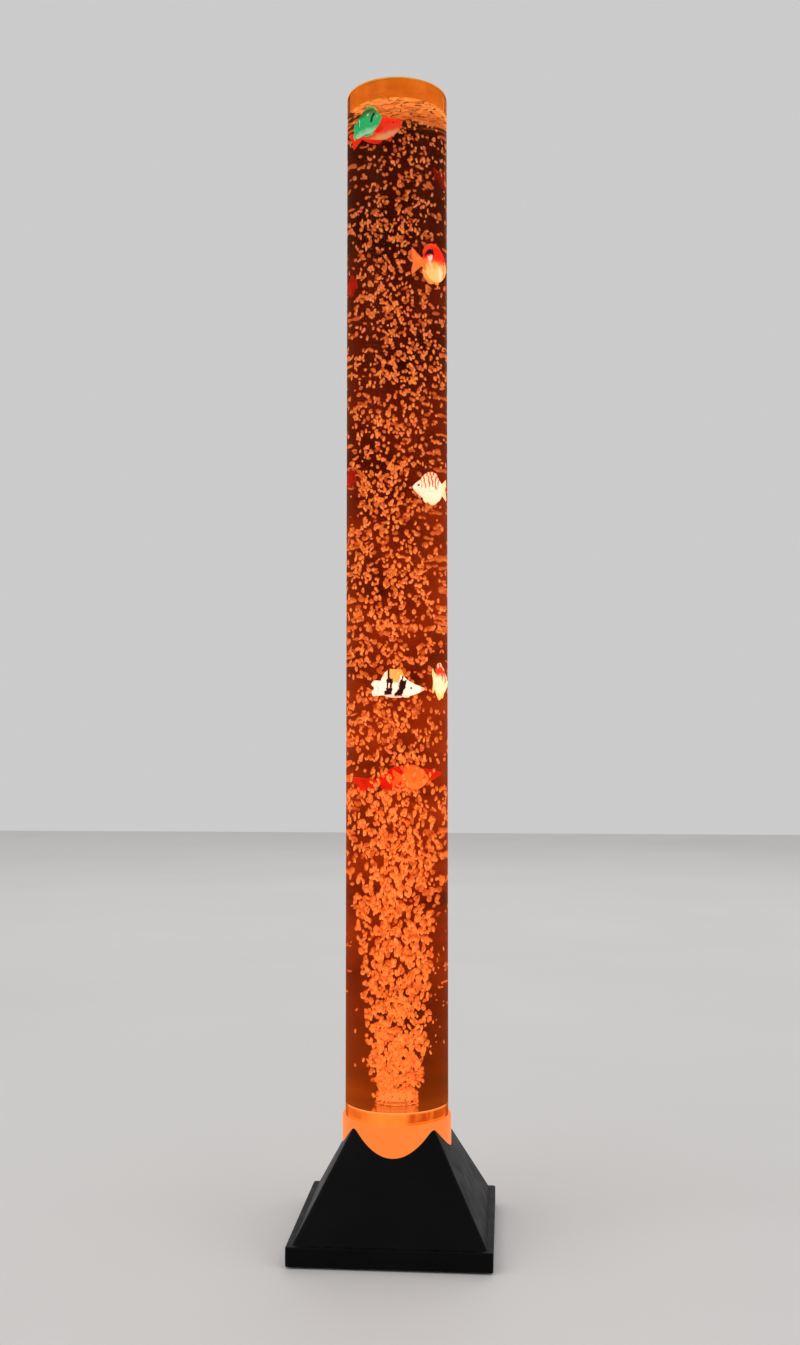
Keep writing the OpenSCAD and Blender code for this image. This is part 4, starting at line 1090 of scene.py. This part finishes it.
# painted shade: the glow dims towards the top
height = bubble.ramp(bubble.span(bp["Z"], 0.14, 1.17), [(0.0, (1, 0.98, 0.78, 1)), (0.20, (1, 0.99, 0.84, 1)), (0.42, (0.96, 1.0, 1.0, 1)), (0.72, (0.80, 0.88, 1.05, 1)), (1.0, (0.58, 0.68, 1.0, 1))])
shade = bubble.mix(1.0, bubble.mix(1.0, near_c, tone, "MULTIPLY"), height, "MULTIPLY")
# some are golden and some pinkish, more so towards the top
hue = bubble.ramp(bubble.noise(330.0, 1.0), [(0.38, (1.0, 1.18, 0.55, 1)), (0.62, (1.02, 0.90, 1.30, 1))])
shade = bubble.mix(bubble.span(bp["Z"], 0.30, 0.90, 0.25, 1.0), shade, bubble.mix(1.0, shade, hue, "MULTIPLY"))
bubble.principled({"Base Color": (0.25, 0.06, 0.015, 1), "Roughness": 0.2, "Emission Color": shade, "Emission Strength": 1.0,
    "Normal": bubble.bump(bubble.noise(500.0, 2.0), 0.2, 0.0004)})
bubble.m.cycles.emission_sampling = "NONE"

bands = [(0, 260), (260, 400), (400, 600), (600, 790), (790, 980), (980, 1170)]
for number, (z0, z1) in enumerate(bands, 1):
    group = [s for s in spots if z0 <= s[2] < z1]
    all_v, all_f = [], []
    for i, (x, y, z, a1, a2, c) in enumerate(group):
        k = rng.normal(size=(3, 3)) * 1.6
        ph = rng.uniform(0, 2 * math.pi, 3)
        amp = rng.uniform(0.05, 0.17, 3)
        d = 1 + (np.sin(BALL_V @ k + ph) * amp).sum(1)
        v = BALL_V * d[:, None] * [a1, a2, c]
        tilt = Matrix.Rotation(rng.normal() * 0.24, 3, "X") @ Matrix.Rotation(rng.normal() * 0.24, 3, "Y") @ Matrix.Rotation(rng.uniform(0, 6.28), 3, "Z")
        v = v @ np.array(tilt).T
        v[:, 2] = np.clip(v[:, 2] + z, 136.5, 1168.3)
        v[:, 0] += x
        v[:, 1] += y
        far_out = np.hypot(v[:, 0], v[:, 1])
        v[:, :2] *= np.minimum(1.0, 49.7 / np.maximum(far_out, 1e-6))[:, None]
        all_v.append(v)
        all_f.append(BALL_F + i * len(BALL_V))
    ob = mesh_object(f"bubbles_{number}", np.concatenate(all_v) * MM, np.concatenate(all_f).tolist(), [bubble.m])
    place(ob, "root", "water_amber")
    print("bubbles", number, len(group), len(ob.data.polygons))

# ------------------------------------------------------------------ the other CAD pieces
def plastic(name, a, b, rough=0.45, grain=900.0, strength=0.15, spec=0.5):
    m = Mat(name)
    m.principled({"Base Color": m.ramp(m.noise(40.0, 3.0), [(0.3, (*a, 1)), (0.7, (*b, 1))]),
        "Roughness": m.span(m.noise(120.0, 3.0), 0.3, 0.7, rough - 0.07, rough + 0.08),
        "Specular IOR Level": spec, "Normal": m.bump(m.noise(grain, 2.0), strength, 0.0002)})
    return m


def metal(name, a, b, rough=0.3, stretch=(1, 1, 12)):
    m = Mat(name)
    brush = m.noise(260.0, 3.0, vec=m.scaled(*stretch))
    m.principled({"Base Color": m.ramp(brush, [(0.3, (*a, 1)), (0.7, (*b, 1))]), "Metallic": 1.0,
        "Roughness": m.span(brush, 0.3, 0.7, rough - 0.08, rough + 0.1), "Normal": m.bump(brush, 0.12, 0.0002)})
    return m


plate_black = plastic("plate_black_finish", (0.006, 0.006, 0.007), (0.011, 0.011, 0.012), 0.55)
foot_rubber = plastic("foot_rubber_finish", (0.010, 0.010, 0.010), (0.020, 0.019, 0.019), 0.82, 1400.0, 0.3, 0.3)
steel = metal("screw_steel_finish", (0.42, 0.42, 0.43), (0.60, 0.60, 0.61), 0.28)
white_part = plastic("fitting_white_finish", (0.62, 0.60, 0.56), (0.74, 0.72, 0.68), 0.4)
seal = plastic("seal_rubber_finish", (0.012, 0.012, 0.012), (0.022, 0.021, 0.021), 0.78, 1400.0, 0.3, 0.3)
hose = plastic("hose_silicone_finish", (0.60, 0.56, 0.50), (0.72, 0.68, 0.62), 0.32)
valve = plastic("valve_blue_finish", (0.03, 0.12, 0.32), (0.05, 0.18, 0.42), 0.3)
carrier = metal("carrier_aluminium_finish", (0.55, 0.56, 0.58), (0.70, 0.71, 0.73), 0.36, (1, 14, 1))
white_board = plastic("board_white_finish", (0.70, 0.70, 0.67), (0.82, 0.82, 0.79), 0.4)
green_board = plastic("board_green_finish", (0.010, 0.085, 0.030), (0.016, 0.120, 0.044), 0.35)
dark_part = plastic("parts_dark_finish", (0.012, 0.012, 0.014), (0.026, 0.026, 0.030), 0.42)
jack = plastic("jack_black_finish", (0.006, 0.006, 0.007), (0.012, 0.012, 0.013), 0.38)
nickel = metal("nut_nickel_finish", (0.50, 0.49, 0.46), (0.66, 0.65, 0.61), 0.25)
switch = plastic("switch_black_finish", (0.006, 0.006, 0.007), (0.012, 0.012, 0.013), 0.35)
rocker = plastic("rocker_black_finish", (0.009, 0.009, 0.010), (0.017, 0.017, 0.018), 0.28, 500.0)
grey_pump = plastic("pump_grey_finish", (0.020, 0.020, 0.023), (0.034, 0.034, 0.038), 0.5)
core = metal("core_steel_finish", (0.20, 0.21, 0.22), (0.32, 0.33, 0.35), 0.45, (30, 1, 1))
arm = metal("arm_steel_finish", (0.42, 0.43, 0.45), (0.58, 0.59, 0.61), 0.32)
magnet = metal("magnet_grey_finish", (0.10, 0.10, 0.11), (0.17, 0.17, 0.18), 0.42)
lead = plastic("lead_red_finish", (0.38, 0.012, 0.012), (0.52, 0.022, 0.020), 0.38)

coil = Mat("coil_copper_finish")
wind = coil.add("ShaderNodeTexWave", {"Vector": coil.at, "Scale": 420.0, "Distortion": 0.4}, bands_direction="Z").outputs["Fac"]
coil.principled({"Base Color": coil.ramp(wind, [(0.2, (0.20, 0.055, 0.018, 1)), (0.7, (0.62, 0.20, 0.075, 1))]), "Metallic": 0.9,
    "Roughness": 0.35, "Normal": coil.bump(wind, 0.6, 0.0003)})

chip = Mat("lamp_chip_finish")
cn = chip.ramp(chip.noise(700.0, 2.0), [(0.3, (1.0, 0.33, 0.08, 1)), (0.7, (1.0, 0.45, 0.14, 1))])
chip.principled({"Base Color": (0.75, 0.62, 0.30, 1), "Roughness": 0.3, "Emission Color": cn, "Emission Strength": 1.6})

stone = Mat("diffuser_stone_finish")
pore = stone.cells(900.0)
glowing = stone.ramp(stone.noise(160.0, 3.0), [(0.3, (1.20, 0.37, 0.085, 1)), (0.7, (1.50, 0.48, 0.11, 1))])
stone.principled({"Base Color": (0.30, 0.16, 0.09, 1), "Roughness": 0.7,
    "Emission Color": stone.mix(stone.span(pore, 0.15, 0.45, 0.4, 0.0), glowing, (0.8, 0.19, 0.04, 1)), "Emission Strength": 1.0,
    "Normal": stone.bump(pore, 0.8, 0.0006)})

nozzle = Mat("nozzle_lit_finish")
nz = nozzle.ramp(nozzle.noise(90.0, 3.0), [(0.3, (0.85, 0.19, 0.03, 1)), (0.7, (1.0, 0.27, 0.05, 1))])
nozzle.principled({"Base Color": (0.20, 0.14, 0.10, 1), "Roughness": 0.4, "Emission Color": nz, "Emission Strength": 0.9,
    "Normal": nozzle.bump(nozzle.noise(800.0, 2.0), 0.2, 0.0002)})

FINISH = {
    "bottom_plate": plate_black, "foot_pads": foot_rubber, "plate_screws": steel, "collar_screws": steel,
    "air_nozzle": nozzle, "nozzle_gasket": nozzle, "nozzle_nut": white_part, "diffuser": stone,
    "air_hose_upper": hose, "air_hose_lower": hose, "check_valve_body": valve, "check_valve_disc": seal,
    "led_plate": carrier, "led_board": white_board, "led_chips": chip, "led_screws": steel,
    "control_board": green_board, "board_parts": dark_part, "board_screws": steel, "dc_jack": jack, "jack_nut": nickel,
    "switch_housing": switch, "switch_rocker": rocker, "pump_case": grey_pump, "pump_cover": grey_pump, "pump_core": core,
    "pump_coil": coil, "pump_arm": arm, "pump_magnet": magnet, "pump_anchor": seal, "pump_diaphragm": seal,
    "pump_valve_block": white_part, "pump_mounts": foot_rubber, "wiring": lead,
}
for n, m in FINISH.items():
    give(n, m)

# ------------------------------------------------------------------ floor, light, world
floor_m = Mat("studio_floor")
fc = floor_m.ramp(floor_m.noise(1.2, 3.0), [(0.3, (0.70, 0.69, 0.68, 1)), (0.7, (0.74, 0.73, 0.72, 1))])
floor_m.principled({"Base Color": fc, "Roughness": 0.65, "Specular IOR Level": 0.3})
n_floor = 24
xs = np.linspace(-6, 6, n_floor + 1)
floor = mesh_object("studio_floor", [(x, y, -0.0004) for y in xs for x in xs],
    [(j * (n_floor + 1) + i, j * (n_floor + 1) + i + 1, (j + 1) * (n_floor + 1) + i + 1, (j + 1) * (n_floor + 1) + i) for j in range(n_floor) for i in range(n_floor)],
    [floor_m.m])

world = bpy.data.worlds.new("studio")
world.use_nodes = True
world.node_tree.nodes["Background"].inputs["Color"].default_value = (0.80, 0.80, 0.80, 1)
world.node_tree.nodes["Background"].inputs["Strength"].default_value = 0.75
scene.world = world


def soft_light(name, at, to, size, watts, colour=(1, 1, 1)):
    d = bpy.data.lights.new(name, "AREA")
    d.shape = "RECTANGLE"
    d.size, d.size_y = size
    d.energy = watts
    d.color = colour
    o = link(bpy.data.objects.new(name, d))
    o.location = at
    o.rotation_euler = (Vector(to) - Vector(at)).to_track_quat("-Z", "Y").to_euler()
    return o


soft_light("key", (-2.8, -2.6, 3.6), (0, 0, 0.4), (4.0, 4.0), 52)
soft_light("fill", (3.4, -1.8, 2.6), (0, 0, 0.4), (3.2, 3.2), 24)
soft_light("back", (0.4, 3.4, 3.2), (0, 0, 0.5), (4.0, 3.0), 28)
